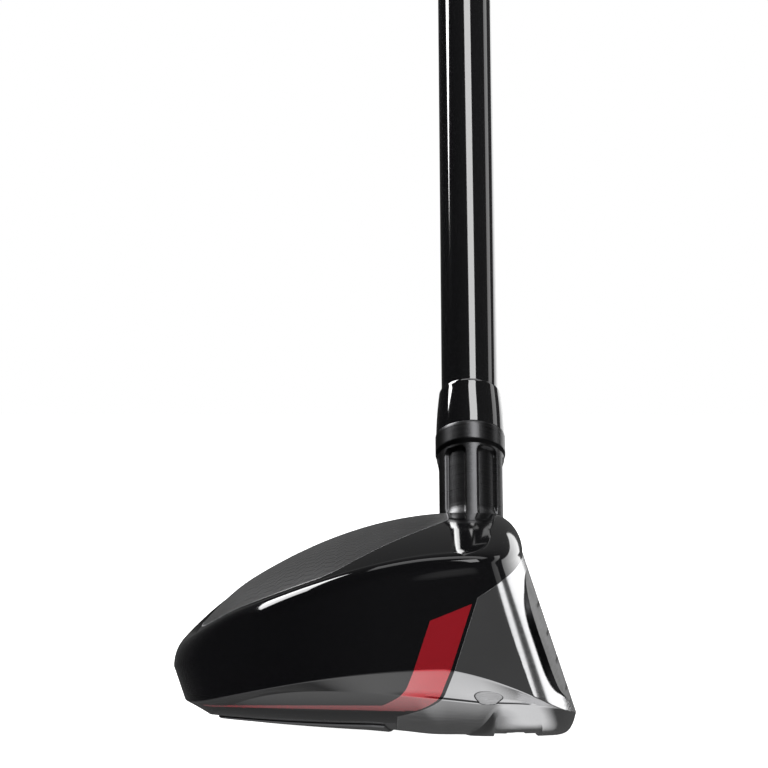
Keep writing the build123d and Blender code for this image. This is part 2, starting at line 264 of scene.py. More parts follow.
class Recipe:
    """A material's nodes, built up by short calls; place is in metres, x, y and z in millimetres."""

    def __init__(self, name: str) -> None:
        """Start an empty material with its surface shader."""
        self.material = bpy.data.materials.new(name)
        self.material.use_nodes = True
        self.tree = self.material.node_tree
        self.shader = self.tree.nodes["Principled BSDF"]
        self.place = self.tree.nodes.new("ShaderNodeTexCoord").outputs["Object"]
        split = self.tree.nodes.new("ShaderNodeSeparateXYZ")
        self.link(self.place, split.inputs[0])
        self.x, self.y, self.z = (self.scale(split.outputs[i], 1.0 / MM) for i in range(3))

    def link(self, source, target) -> None:
        """Join two sockets."""
        self.tree.links.new(source, target)

    def feed(self, target, value) -> None:
        """Give a socket a number, a colour or another socket's value."""
        if isinstance(value, tuple):
            target.default_value = (*value, 1.0)
        elif isinstance(value, (int, float)):
            target.default_value = value
        else:
            self.link(value, target)

    def math(self, operation: str, a, b=None, c=None, clamp: bool = False):
        """One maths node; numbers and sockets both do."""
        node = self.tree.nodes.new("ShaderNodeMath")
        node.operation = operation
        node.use_clamp = clamp
        for socket, value in zip(node.inputs, (a, b, c)):
            if value is not None:
                self.feed(socket, value)
        return node.outputs[0]

    def scale(self, a, factor: float):
        """A value times a number."""
        return self.math("MULTIPLY", a, factor)

    def add(self, a, b):
        """Sum of two values."""
        return self.math("ADD", a, b)

    def sub(self, a, b):
        """Difference of two values."""
        return self.math("SUBTRACT", a, b)

    def mul(self, a, b):
        """Product of two values."""
        return self.math("MULTIPLY", a, b)

    def both(self, *masks):
        """Where every mask holds."""
        result = masks[0]
        for mask in masks[1:]:
            result = self.math("MINIMUM", result, mask)
        return result

    def either(self, *masks):
        """Where any mask holds."""
        result = masks[0]
        for mask in masks[1:]:
            result = self.math("MAXIMUM", result, mask)
        return result

    def above(self, value, limit, soft: float = 0.03):
        """1 where a value in millimetres is over a limit, with a soft edge."""
        gap = self.sub(value, limit)
        return self.math("MULTIPLY_ADD", gap, 0.5 / soft, 0.5, clamp=True)

    def below(self, value, limit, soft: float = 0.03):
        """1 where a value is under a limit."""
        return self.invert(self.above(value, limit, soft))

    def invert(self, mask):
        """The other side of a mask."""
        return self.math("SUBTRACT", 1.0, mask)

    def mix(self, mask, a: Colour | object, b: Colour | object):
        """Colour a where the mask is 0 and b where it is 1."""
        node = self.tree.nodes.new("ShaderNodeMix")
        node.data_type = "RGBA"
        self.link(mask, node.inputs["Factor"])
        for socket, value in ((node.inputs[6], a), (node.inputs[7], b)):
            self.feed(socket, value)
        return node.outputs[2]

    def blend(self, mask, a, b):
        """Number a where the mask is 0 and b where it is 1."""
        node = self.tree.nodes.new("ShaderNodeMix")
        self.link(mask, node.inputs["Factor"])
        for socket, value in ((node.inputs[2], a), (node.inputs[3], b)):
            self.feed(socket, value)
        return node.outputs[0]

    def vector(self, x, y, z):
        """A vector from three values."""
        node = self.tree.nodes.new("ShaderNodeCombineXYZ")
        for socket, value in zip(node.inputs, (x, y, z)):
            self.feed(socket, value)
        return node.outputs[0]

    def noise(self, where, scale: float, detail: float = 3.0, rough: float = 0.5):
        """Noise from 0 to 1; where is in the units that scale counts in."""
        node = self.tree.nodes.new("ShaderNodeTexNoise")
        node.inputs["Scale"].default_value = scale
        node.inputs["Detail"].default_value = detail
        node.inputs["Roughness"].default_value = rough
        self.link(where, node.inputs["Vector"])
        return node.outputs["Fac"]

    def remap(self, value, low: float, high: float, to_low: float, to_high: float):
        """Carry a value from one range to another, clamped."""
        node = self.tree.nodes.new("ShaderNodeMapRange")
        self.link(value, node.inputs["Value"])
        for socket, number in zip(RANGE_SOCKETS, (low, high, to_low, to_high)):
            node.inputs[socket].default_value = number
        return node.outputs["Result"]

    def bump(self, height, depth_mm: float, strength: float = 1.0) -> None:
        """Raise the surface by a height from 0 to 1."""
        node = self.tree.nodes.new("ShaderNodeBump")
        node.inputs["Strength"].default_value = strength
        node.inputs["Distance"].default_value = depth_mm * MM
        self.link(height, node.inputs["Height"])
        self.link(node.outputs["Normal"], self.shader.inputs["Normal"])
        if self.shader.inputs["Coat Weight"].default_value <= 0:
            self.link(node.outputs["Normal"], self.shader.inputs["Coat Normal"])

    def set(self, socket: str, value) -> None:
        """Feed one of the shader's sockets."""
        self.feed(self.shader.inputs[socket], value)


@dataclass(frozen=True)
class ShaftLine:
    """The shaft's axis, in millimetres."""

    lie: float = 59.5
    ground_y: float = 27.0

    @property
    def start(self) -> np.ndarray:
        """Where the axis meets the ground."""
        return np.array([0.0, self.ground_y, 0.0])

    @property
    def along(self) -> np.ndarray:
        """Unit direction up the shaft."""
        a = math.radians(self.lie)
        return np.array([0.0, math.cos(a), math.sin(a)])

    @property
    def toeward(self) -> np.ndarray:
        """Unit direction across the shaft, on its toe side."""
        a = math.radians(self.lie)
        return np.array([0.0, -math.sin(a), math.cos(a)])

    def point(self, radius: np.ndarray, turn: np.ndarray, along: np.ndarray) -> np.ndarray:
        """Points round the axis.

        Args:
            radius: Distance from the axis.
            turn: Angle round it from +X, in radians.
            along: Distance along it from the ground.
        Returns:
            The points, one row each.
        """
        radius, turn, along = np.broadcast_arrays(radius, turn, along)
        result = self.start + along[..., None] * self.along
        result = result + (radius * np.cos(turn))[..., None] * np.array([1.0, 0.0, 0.0])
        return result + (radius * np.sin(turn))[..., None] * self.toeward

    def coordinates(self, recipe: Recipe):
        """The nodes for (distance along the axis in mm, turn round it in radians)."""
        dy = recipe.sub(recipe.y, self.ground_y)
        along, across = (
            recipe.add(recipe.mul(dy, float(way[1])), recipe.mul(recipe.z, float(way[2])))
            for way in (self.along, self.toeward)
        )
        return along, recipe.math("ARCTAN2", across, recipe.x)


LINE = ShaftLine()


@dataclass(frozen=True)
class GlossPaint:
    """Deep gloss paint, as on the rear of the head and the shaft."""

    name: str
    colour: Colour = (0.0045, 0.0045, 0.005)
    roughness: float = 0.05
    flake: float = 0.25

    def make(self) -> bpy.types.Material:
        """Build the material."""
        r = Recipe(self.name)
        flakes = r.remap(r.noise(r.place, 9000.0, 1.0), 0.62, 0.8, 0.0, self.flake)
        r.set("Base Color", r.mix(flakes, self.colour, (0.03, 0.03, 0.033)))
        smear = r.noise(r.place, 60.0, 4.0)
        r.set("Roughness", r.remap(smear, 0.3, 0.7, self.roughness * 0.8, self.roughness * 1.5))
        r.set("Coat Weight", 0.6)
        r.set("Coat Roughness", 0.03)
        r.bump(r.noise(r.place, 700.0, 2.0), 0.0012)
        return r.material


@dataclass(frozen=True)
class HeadFinish:
    """All the finishes of the head casting: black paint, a red band, bare steel and the keel pad."""

    name: str = "head_finish"
    black: Colour = (0.0035, 0.0035, 0.004)
    red: Colour = (0.42, 0.012, 0.022)
    steel_dark: Colour = (0.56, 0.56, 0.57)
    steel_light: Colour = (0.66, 0.66, 0.67)
    pad: Colour = (0.10, 0.10, 0.105)
    border: float = 0.6
    toe_side: float = -8.0
    band_foot: float = 5.9
    tail: tuple[float, float] = (-43.0, -12.0)
    tail_foot: float = 5.75
    pad_front: float = -13.2

    def make(self) -> bpy.types.Material:
        """Build the material."""
        r = Recipe(self.name)
        toe = r.below(r.y, self.toe_side, 2.0)
        low = r.math("MAXIMUM", r.sub(9.3, r.z), 0.0)
        front_edge = r.add(r.math("MULTIPLY_ADD", r.z, 0.32, -9.43), r.scale(r.mul(low, low), -0.24))
        front_edge = r.math("MAXIMUM", front_edge, -13.6)
        lower = r.math("MAXIMUM", r.sub(10.5, r.z), 0.0)
        rear_line = r.math("MULTIPLY_ADD", r.z, 0.33, -15.05)
        rear_edge = r.add(rear_line, r.scale(r.mul(lower, lower), -0.19))
        top_edge = r.math("MULTIPLY_ADD", r.x, 0.40, 23.88)
        upright = r.both(r.below(r.x, front_edge), r.above(r.x, rear_edge))
        band = r.both(upright, r.below(r.z, top_edge), r.above(r.z, self.band_foot), toe)
        # the band thins to a line that runs back along the low edge of the toe
        tail_top = r.remap(r.x, *self.tail, 6.0, 6.9)
        length = r.both(r.above(r.x, self.tail[0]), r.below(r.x, self.tail[1]))
        tail = r.both(length, r.below(r.z, tail_top), r.above(r.z, self.tail_foot), toe)
        red = r.either(band, tail)
        steel_top = r.math("MULTIPLY_ADD", r.x, 0.66, 24.75)
        bare = r.both(r.above(r.x, r.add(front_edge, self.border)), r.below(r.z, steel_top))
        heel_side = r.above(r.y, 30.0, 4.0)
        bare = r.both(bare, r.invert(r.both(heel_side, r.above(r.z, 24.0, 0.5))))
        pad_top = r.math("MULTIPLY_ADD", r.x, -0.03, 2.35)
        pad = r.both(r.below(r.x, self.pad_front), r.below(r.z, pad_top))

        tint = r.remap(r.noise(r.place, 45.0, 3.0), 0.3, 0.7, 0.0, 1.0)
        steel = r.mix(tint, self.steel_dark, self.steel_light)
        colour = r.mix(red, self.black, self.red)
        colour = r.mix(bare, colour, steel)
        colour = r.mix(pad, colour, self.pad)
        metal = r.either(bare, pad, r.scale(red, 0.55))
        r.set("Base Color", colour)
        r.set("Metallic", metal)
        stretched = r.vector(r.scale(r.x, 0.25), r.scale(r.y, 0.05), r.scale(r.z, 6.0))
        grain = r.noise(stretched, 1.0, 4.0, 0.6)
        smear = r.noise(r.place, 60.0, 4.0)
        paint_rough = r.remap(smear, 0.3, 0.7, 0.035, 0.07)
        steel_rough = r.remap(grain, 0.3, 0.7, 0.12, 0.20)
        rough = r.blend(bare, paint_rough, steel_rough)
        r.set("Roughness", r.blend(pad, rough, 0.32))
        r.set("Specular IOR Level", 0.28)
        r.set("Coat Weight", red)
        r.set("Coat Roughness", 0.03)
        fine = r.noise(r.place, 700.0, 2.0)
        height = r.blend(r.either(bare, pad), r.scale(fine, 0.5), r.scale(grain, 0.8))
        r.bump(height, 0.002)
        return r.material


@dataclass(frozen=True)
class CarbonWeave:
    """Clear-coated carbon with a fine woven texture."""

    name: str = "crown_carbon"
    dark: Colour = (0.002, 0.002, 0.0022)
    light: Colour = (0.060, 0.060, 0.062)
    pitch: float = 2.2

    def make(self) -> bpy.types.Material:
        """Build the material."""
        r = Recipe(self.name)
        k = 1.0 / self.pitch
        u = r.scale(r.add(r.x, r.y), k * 0.7071)
        v = r.scale(r.sub(r.x, r.y), k * 0.7071)
        cell_u = r.math("PINGPONG", u, 0.5)
        cell_v = r.math("PINGPONG", v, 0.5)
        check = r.math("MODULO", r.math("ABSOLUTE", r.add(r.math("FLOOR", u), r.math("FLOOR", v))), 2.0)
        over = r.blend(check, cell_u, cell_v)
        strands = r.math("ABSOLUTE", r.math("SINE", r.blend(check, r.scale(v, 28.0), r.scale(u, 28.0))))
        tone = r.add(r.scale(over, 1.3), r.scale(strands, 0.25))
        cloud = r.remap(r.noise(r.place, 90.0, 3.0), 0.3, 0.7, 0.6, 1.0)
        r.set("Base Color", r.mix(r.mul(tone, cloud), self.dark, self.light))
        r.set("Roughness", r.remap(over, 0.0, 0.5, 0.42, 0.26))
        r.set("Coat Weight", 0.25)
        r.set("Coat Roughness", 0.15)
        r.bump(over, 0.05)
        return r.material


@dataclass(frozen=True)
class BrushedSteel:
    """Brushed metal; the brushing follows the shaft's turn or runs across the face."""

    name: str
    colour: Colour = (0.30, 0.30, 0.31)
    roughness: float = 0.22
    brushing: Brushing = Brushing.ROUND_SHAFT
    depth: float = 0.004

    def make(self) -> bpy.types.Material:
        """Build the material."""
        r = Recipe(self.name)
        if self.brushing is Brushing.ROUND_SHAFT:
            along, turn = LINE.coordinates(r)
            where = r.vector(r.scale(along, 9.0), r.scale(turn, 0.7), 0.0)
        else:
            where = r.vector(r.scale(r.x, 0.5), r.scale(r.y, 0.12), r.scale(r.z, 9.0))
        lines = r.noise(where, 1.0, 5.0, 0.65)
        broad = r.noise(r.place, 120.0, 2.0)
        shade = tuple(c * 0.62 for c in self.colour)
        r.set("Base Color", r.mix(r.remap(lines, 0.3, 0.7, 0.0, 1.0), shade, self.colour))
        r.set("Metallic", 1.0)
        rough = r.add(r.remap(lines, 0.3, 0.7, -0.05, 0.06), r.remap(broad, 0.3, 0.7, -0.02, 0.03))
        r.set("Roughness", r.add(rough, self.roughness))
        r.bump(lines, self.depth)
        return r.material


@dataclass(frozen=True)
class Moulded:
    """Matte moulded plastic or rubber with a fine grain."""

    name: str
    colour: Colour = (0.012, 0.012, 0.013)
    roughness: float = 0.6
    grain: float = 2500.0
    depth: float = 0.02

    def make(self) -> bpy.types.Material:
        """Build the material."""
        r = Recipe(self.name)
        spots = r.noise(r.place, self.grain, 3.0)
        cloud = r.noise(r.place, 80.0, 3.0)
        lift = tuple(min(1.0, c * 1.6 + 0.004) for c in self.colour)
        r.set("Base Color", r.mix(r.remap(cloud, 0.3, 0.75, 0.0, 1.0), self.colour, lift))
        r.set("Roughness", r.remap(spots, 0.3, 0.7, self.roughness - 0.06, self.roughness + 0.08))
        r.bump(spots, self.depth)
        return r.material


@dataclass(frozen=True)
class BandPrint:
    """Printed film round the shaft: plain bands and a fine chevron, no lettering."""

    name: str = "label_print"
    start: float = 672.0
    end: float = 742.0

    def make(self) -> bpy.types.Material:
        """Build the material."""
        r = Recipe(self.name)
        along, turn = LINE.coordinates(r)
        edge = r.either(r.below(along, self.start + 3.0), r.above(along, self.end - 3.0))
        second = r.both(r.above(along, self.start + 5.0), r.below(along, self.start + 6.0))
        third = r.both(r.above(along, self.end - 6.0), r.below(along, self.end - 5.0))
        wave = r.math("PINGPONG", r.scale(turn, 3.8197), 1.0)
        rows = r.math("FRACT", r.scale(r.add(along, r.scale(wave, 5.0)), 0.125))
        inside = r.both(r.above(along, self.start + 18.0), r.below(along, self.end - 18.0))
        chevron = r.both(r.below(rows, 0.35, 0.02), inside)
        grain = r.noise(r.place, 3000.0, 2.0)
        base = r.mix(r.remap(grain, 0.3, 0.7, 0.0, 1.0), (0.016, 0.016, 0.018), (0.024, 0.024, 0.027))
        colour = r.mix(chevron, base, (0.20, 0.20, 0.21))
        colour = r.mix(r.either(edge, second, third), colour, (0.42, 0.43, 0.45))
        r.set("Base Color", colour)
        r.set("Metallic", r.scale(r.either(edge, second, third), 0.7))
        r.set("Roughness", r.remap(grain, 0.3, 0.7, 0.16, 0.26))
        r.bump(grain, 0.003)
        return r.material


# ------------------------------------------------------------------ the head's surface


@dataclass(frozen=True)
class Level:
    """How far the head's side outline reaches at one height."""

    rear: float
    toe: float
    heel: float


@dataclass(frozen=True)
class HeadForm:
    """The head's outer surface, worked out from a few sizes."""

    loft: float = 18.6
    leading_x: float = 15.6
    leading_z: float = 3.5
    bulge: float = 300.0
    crown_height: float = 35.0
    ridge_inset: float = 3.3
    toe_centre: float = -10.0
    sole_centre: float = -3.0
    wall_top: Level = Level(-48.6, -45.7, 50.3)
    wall_bottom: Level = Level(-46.8, -46.6, 42.0)
    facet_low: Level = Level(-42.8, -38.5, 33.0)
    fullness: tuple[float, float, float, float] = (7.0, 2.6, 1.8, 4.0)
    per_quarter: int = 110
    pad_step: float = 0.5
    crease: float = 0.28
    panel_centre: float = -26.0
    panel_margin: float = 1.2
    panel_corner: float = 3.0

    def face_x(self, y, z):
        """Where the face stands."""
        lean = math.tan(math.radians(self.loft)) * (z - self.leading_z)
        return self.leading_x - lean - y * y / (2 * self.bulge)

    def crown_z(self, x, y):
        """Height of the crown."""
        drop = 0.026 * np.maximum(0.0, -36.0 - x) ** 2
        return self.crown_height - 0.009 * (x + 2.0) ** 2 - drop - 0.0024 * y * y

    def wall_top_z(self, x, y):
        """Height of the side wall's top."""
        return 29.0 + 0.07 * x - 0.0062 * x * x

    def wall_bottom_z(self, x, y):
        """Height of the side wall's foot."""
        d = x + 6.0
        return 13.3 - np.where(d > 0, 0.16 * d + 0.012 * d * d, 0.0045 * d * d)

    def facet_low_z(self, x, y):
        """Height of the lower facet's low edge."""
        return 3.7 + 0.017 * np.minimum(0.0, x) + (0.0026 + 0.00008 * np.maximum(0.0, -x)) * y * y

    def sole_z(self, x, y):
        """Height of the sole inside its outline."""
        rear = 0.0124 * np.maximum(0.0, -8.0 - x) ** 1.5
        front = 0.002 * np.maximum(0.0, x - 3.0) ** 2
        return rear + front + self.pad_step * step((-6.0 - x) / 5.0) + 0.0026 * y * y

    def quarter(self, fullness: float) -> np.ndarray:
        """A corner curve from (1, 0) towards (0, 1), closer points where it turns."""
        a = np.linspace(0, math.pi / 2, 4001)
        curve = np.stack([np.cos(a) ** (2 / fullness), np.sin(a) ** (2 / fullness)], 1)
        steps = np.diff(curve, axis=0)
        length = np.hypot(steps[:, 0], steps[:, 1])
        heading = np.unwrap(np.arctan2(steps[:, 1], steps[:, 0]))
        weight = length + 0.35 * np.abs(np.gradient(heading)) / (math.pi / 2)
        travel = np.concatenate([[0.0], np.cumsum(weight)])
        want = np.linspace(0, travel[-1], self.per_quarter + 1)[:-1]
        return np.stack([np.interp(want, travel, curve[:, i]) for i in range(2)], 1)

    def unit(self) -> np.ndarray:
        """The outline's unit shape, going round by the toe."""
        q = [self.quarter(f) for f in self.fullness]
        return np.concatenate([
            np.stack([q[0][:, 0], -q[0][:, 1]], 1),
            np.stack([-q[1][:, 1], -q[1][:, 0]], 1),
            np.stack([-q[2][:, 0], q[2][:, 1]], 1),
            np.stack([q[3][:, 1], q[3][:, 0]], 1),
        ])

    def ring(self, level: Level, height: Callable, inset: float = 0.0) -> np.ndarray:
        """One level's outline.

        Args:
            level: The outline's reaches.
            height: Formula for its height from x and y.
            inset: How far to go inside it.
        Returns:
            The ring's points, one row each.
        """
        unit = self.unit()
        u, v = unit[:, 0], unit[:, 1]
        y = v * (np.where(v > 0, level.heel, -level.toe) - inset)
        centre = np.where(v < 0, self.toe_centre, 0.0)
        centre = centre + (self.sole_centre - centre) * (1 - np.abs(v)) ** 2
        x = centre.copy()
        for _ in range(7):
            front = centre + u * (self.face_x(y, height(x, y)) - inset - centre)
            x = np.where(u > 0, front, centre - u * (level.rear + inset - centre))
        return np.stack([x, y, height(x, y)], 1)

    def shrunk(self, ring: np.ndarray, centre: float, share: float) -> tuple[np.ndarray, np.ndarray]:
        """x and y of a ring drawn in towards a centre."""
        return centre + share * (ring[:, 0] - centre), share * ring[:, 1]

    def rounded(self, before: np.ndarray, corner: np.ndarray, after: np.ndarray) -> list[np.ndarray]:
        """Points of a small round between two runs that meet at a corner."""
        def reach(towards: np.ndarray) -> np.ndarray:
            way = towards - corner
            length = np.linalg.norm(way, axis=1, keepdims=True)
            return corner + way * np.minimum(0.45, self.crease / np.maximum(length, 1e-6))

        a, b = reach(before), reach(after)
        return small_round(a, corner, b, 5)

    def crown_edge(self, inset: float = 0.0) -> np.ndarray:
        """The ring where the crown meets its rounded edge."""
        return self.ring(self.wall_top, self.crown_z, self.ridge_inset + inset)

    def panel_front(self, y: float) -> float:
        """The crown panel's front edge, swept back to both sides."""
        return -5.0 - 0.09 * max(0.0, abs(y) - 12.0) ** 1.6

    def panel_outline(self, grow: float = 0.0) -> np.ndarray:
        """The crown panel's outline, point for point with the rings.

        Args:
            grow: How far to go outside it.
        Returns:
            The outline's (x, y) rows.
        """
        centre = np.array([self.panel_centre, 0.0])
        edge = self.crown_edge(self.panel_margin)[:, :2] - centre
        own = np.unwrap(np.arctan2(edge[:, 1], edge[:, 0]))
        order = np.argsort(own)
        even = -2 * math.pi * np.arange(len(edge)) / len(edge)
        reach = np.hypot(edge[:, 0], edge[:, 1])
        result = []
        for angle in (own + even) / 2:
            way = np.array([math.cos(angle), math.sin(angle)])
            side = float(np.interp(angle, own[order], reach[order], period=2 * math.pi))
            low, high = 0.0, 120.0
            for _ in range(40):
                middle = (low + high) / 2
                inside = centre[0] + middle * way[0] < self.panel_front(middle * way[1])
                low, high = (middle, high) if inside else (low, middle)
            blend = max(0.0, 1.0 - abs(side - low) / self.panel_corner)
            softened = min(side, low) - blend * blend * self.panel_corner / 4
            result.append(centre + way * (softened + grow))
        return np.array(result)

    def rings(self) -> tuple[np.ndarray, int, int]:
        """All the surface's rings from the sole up.

        Returns:
            The rings as (ring, point, axis), the number of the facet's low ring, and that of
            the wall's top ring.
        """
        low = self.ring(self.facet_low, self.facet_low_z)
        power = 1.6 + 24.0 * np.clip((low[:, 0] - 2.0) / 10.0, 0.0, 1.0)
        edge_rise = low[:, 2] - self.sole_z(low[:, 0], low[:, 1])
        rows: list[np.ndarray] = []
        shares = [0.01, 0.05, 0.1, 0.15, 0.2, 0.26, 0.32, 0.38, 0.44, 0.5, 0.55, 0.6, 0.65, 0.7]
        shares += [0.74, 0.78, 0.82, 0.85, 0.875, 0.9, 0.918, 0.934, 0.948, 0.96, 0.97, 0.979]
        shares += [0.987, 0.994]
        for share in shares:
            x, y = self.shrunk(low, self.sole_centre, share)
            flat = float(step(np.array((share - 0.08) / 0.3)))
            z = (self.sole_z(x, y) + edge_rise * share ** power) * flat
            rows.append(np.stack([x, y, z], 1))
        foot = self.ring(self.wall_bottom, self.wall_bottom_z)
        top = self.ring(self.wall_top, self.wall_top_z)
        facet = [low + (foot - low) * t for t in np.linspace(0, 1, 12)[1:-1]]
        low_at = len(rows)
        rows += self.rounded(rows[-1], low, facet[0]) + facet
        wall = [foot + (top - foot) * t for t in np.linspace(0, 1, 34)[1:]]
        rows += self.rounded(facet[-1], foot, wall[0]) + wall
        top_at = len(rows) - 1
        edge = self.crown_edge()
        for turn in np.linspace(0, 1, 15)[1:]:
            along, up = 1 - math.cos(math.pi / 2 * turn), math.sin(math.pi / 2 * turn)
            rows.append(top + (edge - top) * np.array([along, along, up]))
        opening = self.panel_outline(0.06)
        for share in np.linspace(0, 1, 12)[1:]:
            place = edge[:, :2] + (opening - edge[:, :2]) * share
            rows.append(np.column_stack([place, self.crown_z(place[:, 0], place[:, 1])]))
        for sink in (0.05, 1.1):
            rows.append(rows[-1] - np.array([0.0, 0.0, sink]))
        return np.array(rows), low_at, top_at

    def toe_window(self, rows: np.ndarray, low_at: int, top_at: int) -> np.ndarray:
        """Sink the front of the toe wall behind a raised frame along the face.

        Args:
            rows: The surface's rings.
            low_at: Ring number of the facet's low edge.
            top_at: Ring number of the wall's top.
        Returns:
            The changed rings.
        """
        rows = rows.copy()
        part = rows[low_at:top_at + 1]
        x, y, z = part[..., 0], part[..., 1], part[..., 2]
        behind = self.face_x(y, z) - x
        front = np.clip((behind - 3.2 - 0.03 * (z - 6.0)) / 2.7, 0, 1)
        below_top = np.clip((self.wall_top_z(x, y) - 0.2 - z) / 2.2, 0, 1)
        steps = np.linalg.norm(np.diff(part, axis=0, prepend=part[:1]), axis=2)
        from_low = np.clip((np.cumsum(steps, axis=0) - 0.5) / 1.2, 0, 1)
        fall = [1 - (1 - t) ** 2 for t in (front, below_top, from_low)]
        depth = 0.75 * fall[0] * fall[1] * fall[2] * step((x + 18.0) / 12.0) * step((-y - 20.0) / 8.0)
        part[..., 1] += depth
        return rows


@dataclass
class HeadShell:
    """The head casting's outer skin, with its openings and sole details."""

    form: HeadForm = field(default_factory=HeadForm)
    slot_x: tuple[float, float] = (3.9, 7.0)
    channel_x: tuple[float, float] = (1.9, 9.0)
    channel_half: float = 36.0
    slot_half: float = 26.0
    channel_depth: float = 0.42
    port: tuple[float, float, float] = (0.6, -40.2, 8.4)
    port_axis: tuple[float, float, float] = (0.0, -0.47, -0.88)
    port_radius: float = 2.1
    pocket_back: float = -4.0
    pocket_front: float = 30.0

    def skin(self) -> bpy.types.Object:
        """The closed outer skin."""
        rows, low_at, top_at = self.form.rings()
        rows = self.form.toe_window(rows, low_at, top_at)
        count, around, _ = rows.shape
        points = rows.reshape(-1, 3)
        base = points[:around].mean(axis=0)
        crown = points[-around:].mean(axis=0)
        points = np.concatenate([points, [base, crown]])
        faces = [tuple(reversed(f)) for f in grid_faces(count, around)]
        faces += [(count * around, j, (j + 1) % around) for j in range(around)]
        start = (count - 1) * around
        faces += [(count * around + 1, start + (j + 1) % around, start + j) for j in range(around)]
        skin = make_object("head_shell", points, faces)
        outwards(skin)
        return skin

    def tree(self, skin: bpy.types.Object) -> BVHTree:
        """A search tree over the skin."""
        return BVHTree.FromObject(skin, bpy.context.evaluated_depsgraph_get())

    def sole_at(self, tree: BVHTree, x: float, y: float) -> float:
        """Height of the sole at a place, in millimetres."""
        hit = tree.ray_cast(Vector((x * MM, y * MM, -0.05)), Vector((0, 0, 1)))[0]
        return hit.z / MM if hit else 30.0

    def stadium(self, span: tuple[float, float], half: float, corner: int = 16) -> np.ndarray:
        """Outline of a round-ended slot across the sole, as (x, y) rows."""
        middle, radius = (span[0] + span[1]) / 2, (span[1] - span[0]) / 2
        turn = np.linspace(0, math.pi, corner)
        one = np.stack([middle + radius * np.cos(turn), half - radius + radius * np.sin(turn)], 1)
        two = np.stack([middle - radius * np.cos(turn), -half + radius - radius * np.sin(turn)], 1)
        left = np.linspace(half - radius, -half + radius, 40)[1:-1]
        side_a = np.stack([np.full(38, middle - radius), left], 1)
        side_b = np.stack([np.full(38, middle + radius), left[::-1]], 1)
        return np.concatenate([one, side_a, two, side_b])

    def sole_tool(
        self, tree: BVHTree, span: tuple[float, float], half: float, depth: float
    ) -> bpy.types.Object:
        """A cutting block whose top follows the sole at a depth."""
        outline = self.stadium(span, half)
        middle = (span[0] + span[1]) / 2
        tops = []
        for share in (1.0, 0.75, 0.5, 0.25):
            place = np.stack([middle + share * (outline[:, 0] - middle), outline[:, 1]], 1)
            tops.append(np.array([[x, y, self.sole_at(tree, x, y) + depth] for x, y in place]))
        bottom = np.column_stack([outline, np.full(len(outline), -4.0)])
        rows = [bottom] + tops
        around = len(outline)
        points = np.concatenate(rows)
        faces = list(grid_faces(len(rows), around))
        faces.append(tuple(reversed(range(around))))
        faces.append(tuple(range((len(rows) - 1) * around, len(rows) * around)))
        tool = make_object("tool", points, faces)
        with editing(tool) as bm:
            bmesh.ops.triangulate(bm, faces=[f for f in bm.faces if len(f.verts) > 4])
            bmesh.ops.recalc_face_normals(bm, faces=bm.faces)
        return tool

    def rod(
        self, centre: Sequence[float], axis: Sequence[float], radius: float, length: float
    ) -> bpy.types.Object:
        """A round cutting rod centred on a point."""
        way = np.array(axis) / np.linalg.norm(axis)
        side = np.cross(way, [1.0, 0.0, 0.0])
        side /= np.linalg.norm(side)
        other = np.cross(way, side)
        turn = np.linspace(0, 2 * math.pi, 64, endpoint=False)[:, None]
        circle = np.array(centre) + radius * (np.cos(turn) * side + np.sin(turn) * other)
        return prism(circle - way * length / 2, circle + way * length / 2)

    def prism_x(self, outline: np.ndarray) -> bpy.types.Object:
        """A cutting block along X from a (y, z) outline."""
        ends = (self.pocket_back, self.pocket_front)
        rear, front = (np.column_stack([np.full(len(outline), x), outline]) for x in ends)
        return prism(rear, front)

    def keel_pad(self, tree: BVHTree) -> bpy.types.Object:
        """The raised pad along the keel, a shallow plate with a rolled rim."""
        corners = np.array([
            (-41.3, -7.5), (-38.0, -9.0), (-17.0, -15.0), (-15.0, -14.5), (-12.6, 9.0),
            (-14.5, 13.0), (-17.0, 14.0), (-38.0, 9.0), (-41.3, 7.5),
        ])
        outline = []
        for a, b in zip(corners, np.roll(corners, -1, axis=0)):
            outline += [a + (b - a) * t for t in np.linspace(0, 1, 14, endpoint=False)]
        outline = np.array(outline)
        middle = outline.mean(axis=0)
        rows = []
        for share, lift in ((1.0, 0.6), (1.0, -0.22), (0.985, -0.38), (0.965, -0.44)):
            place = middle + share * (outline - middle)
            rows.append([[x, y, max(0.02, self.sole_at(tree, x, y) + lift)] for x, y in place])
        for share in np.linspace(0.9, 0.05, 14):
            place = middle + share * (outline - middle)
            rows.append([[x, y, max(0.02, self.sole_at(tree, x, y) - 0.45)] for x, y in place])
        return lidded("pad", rows, backwards=False)


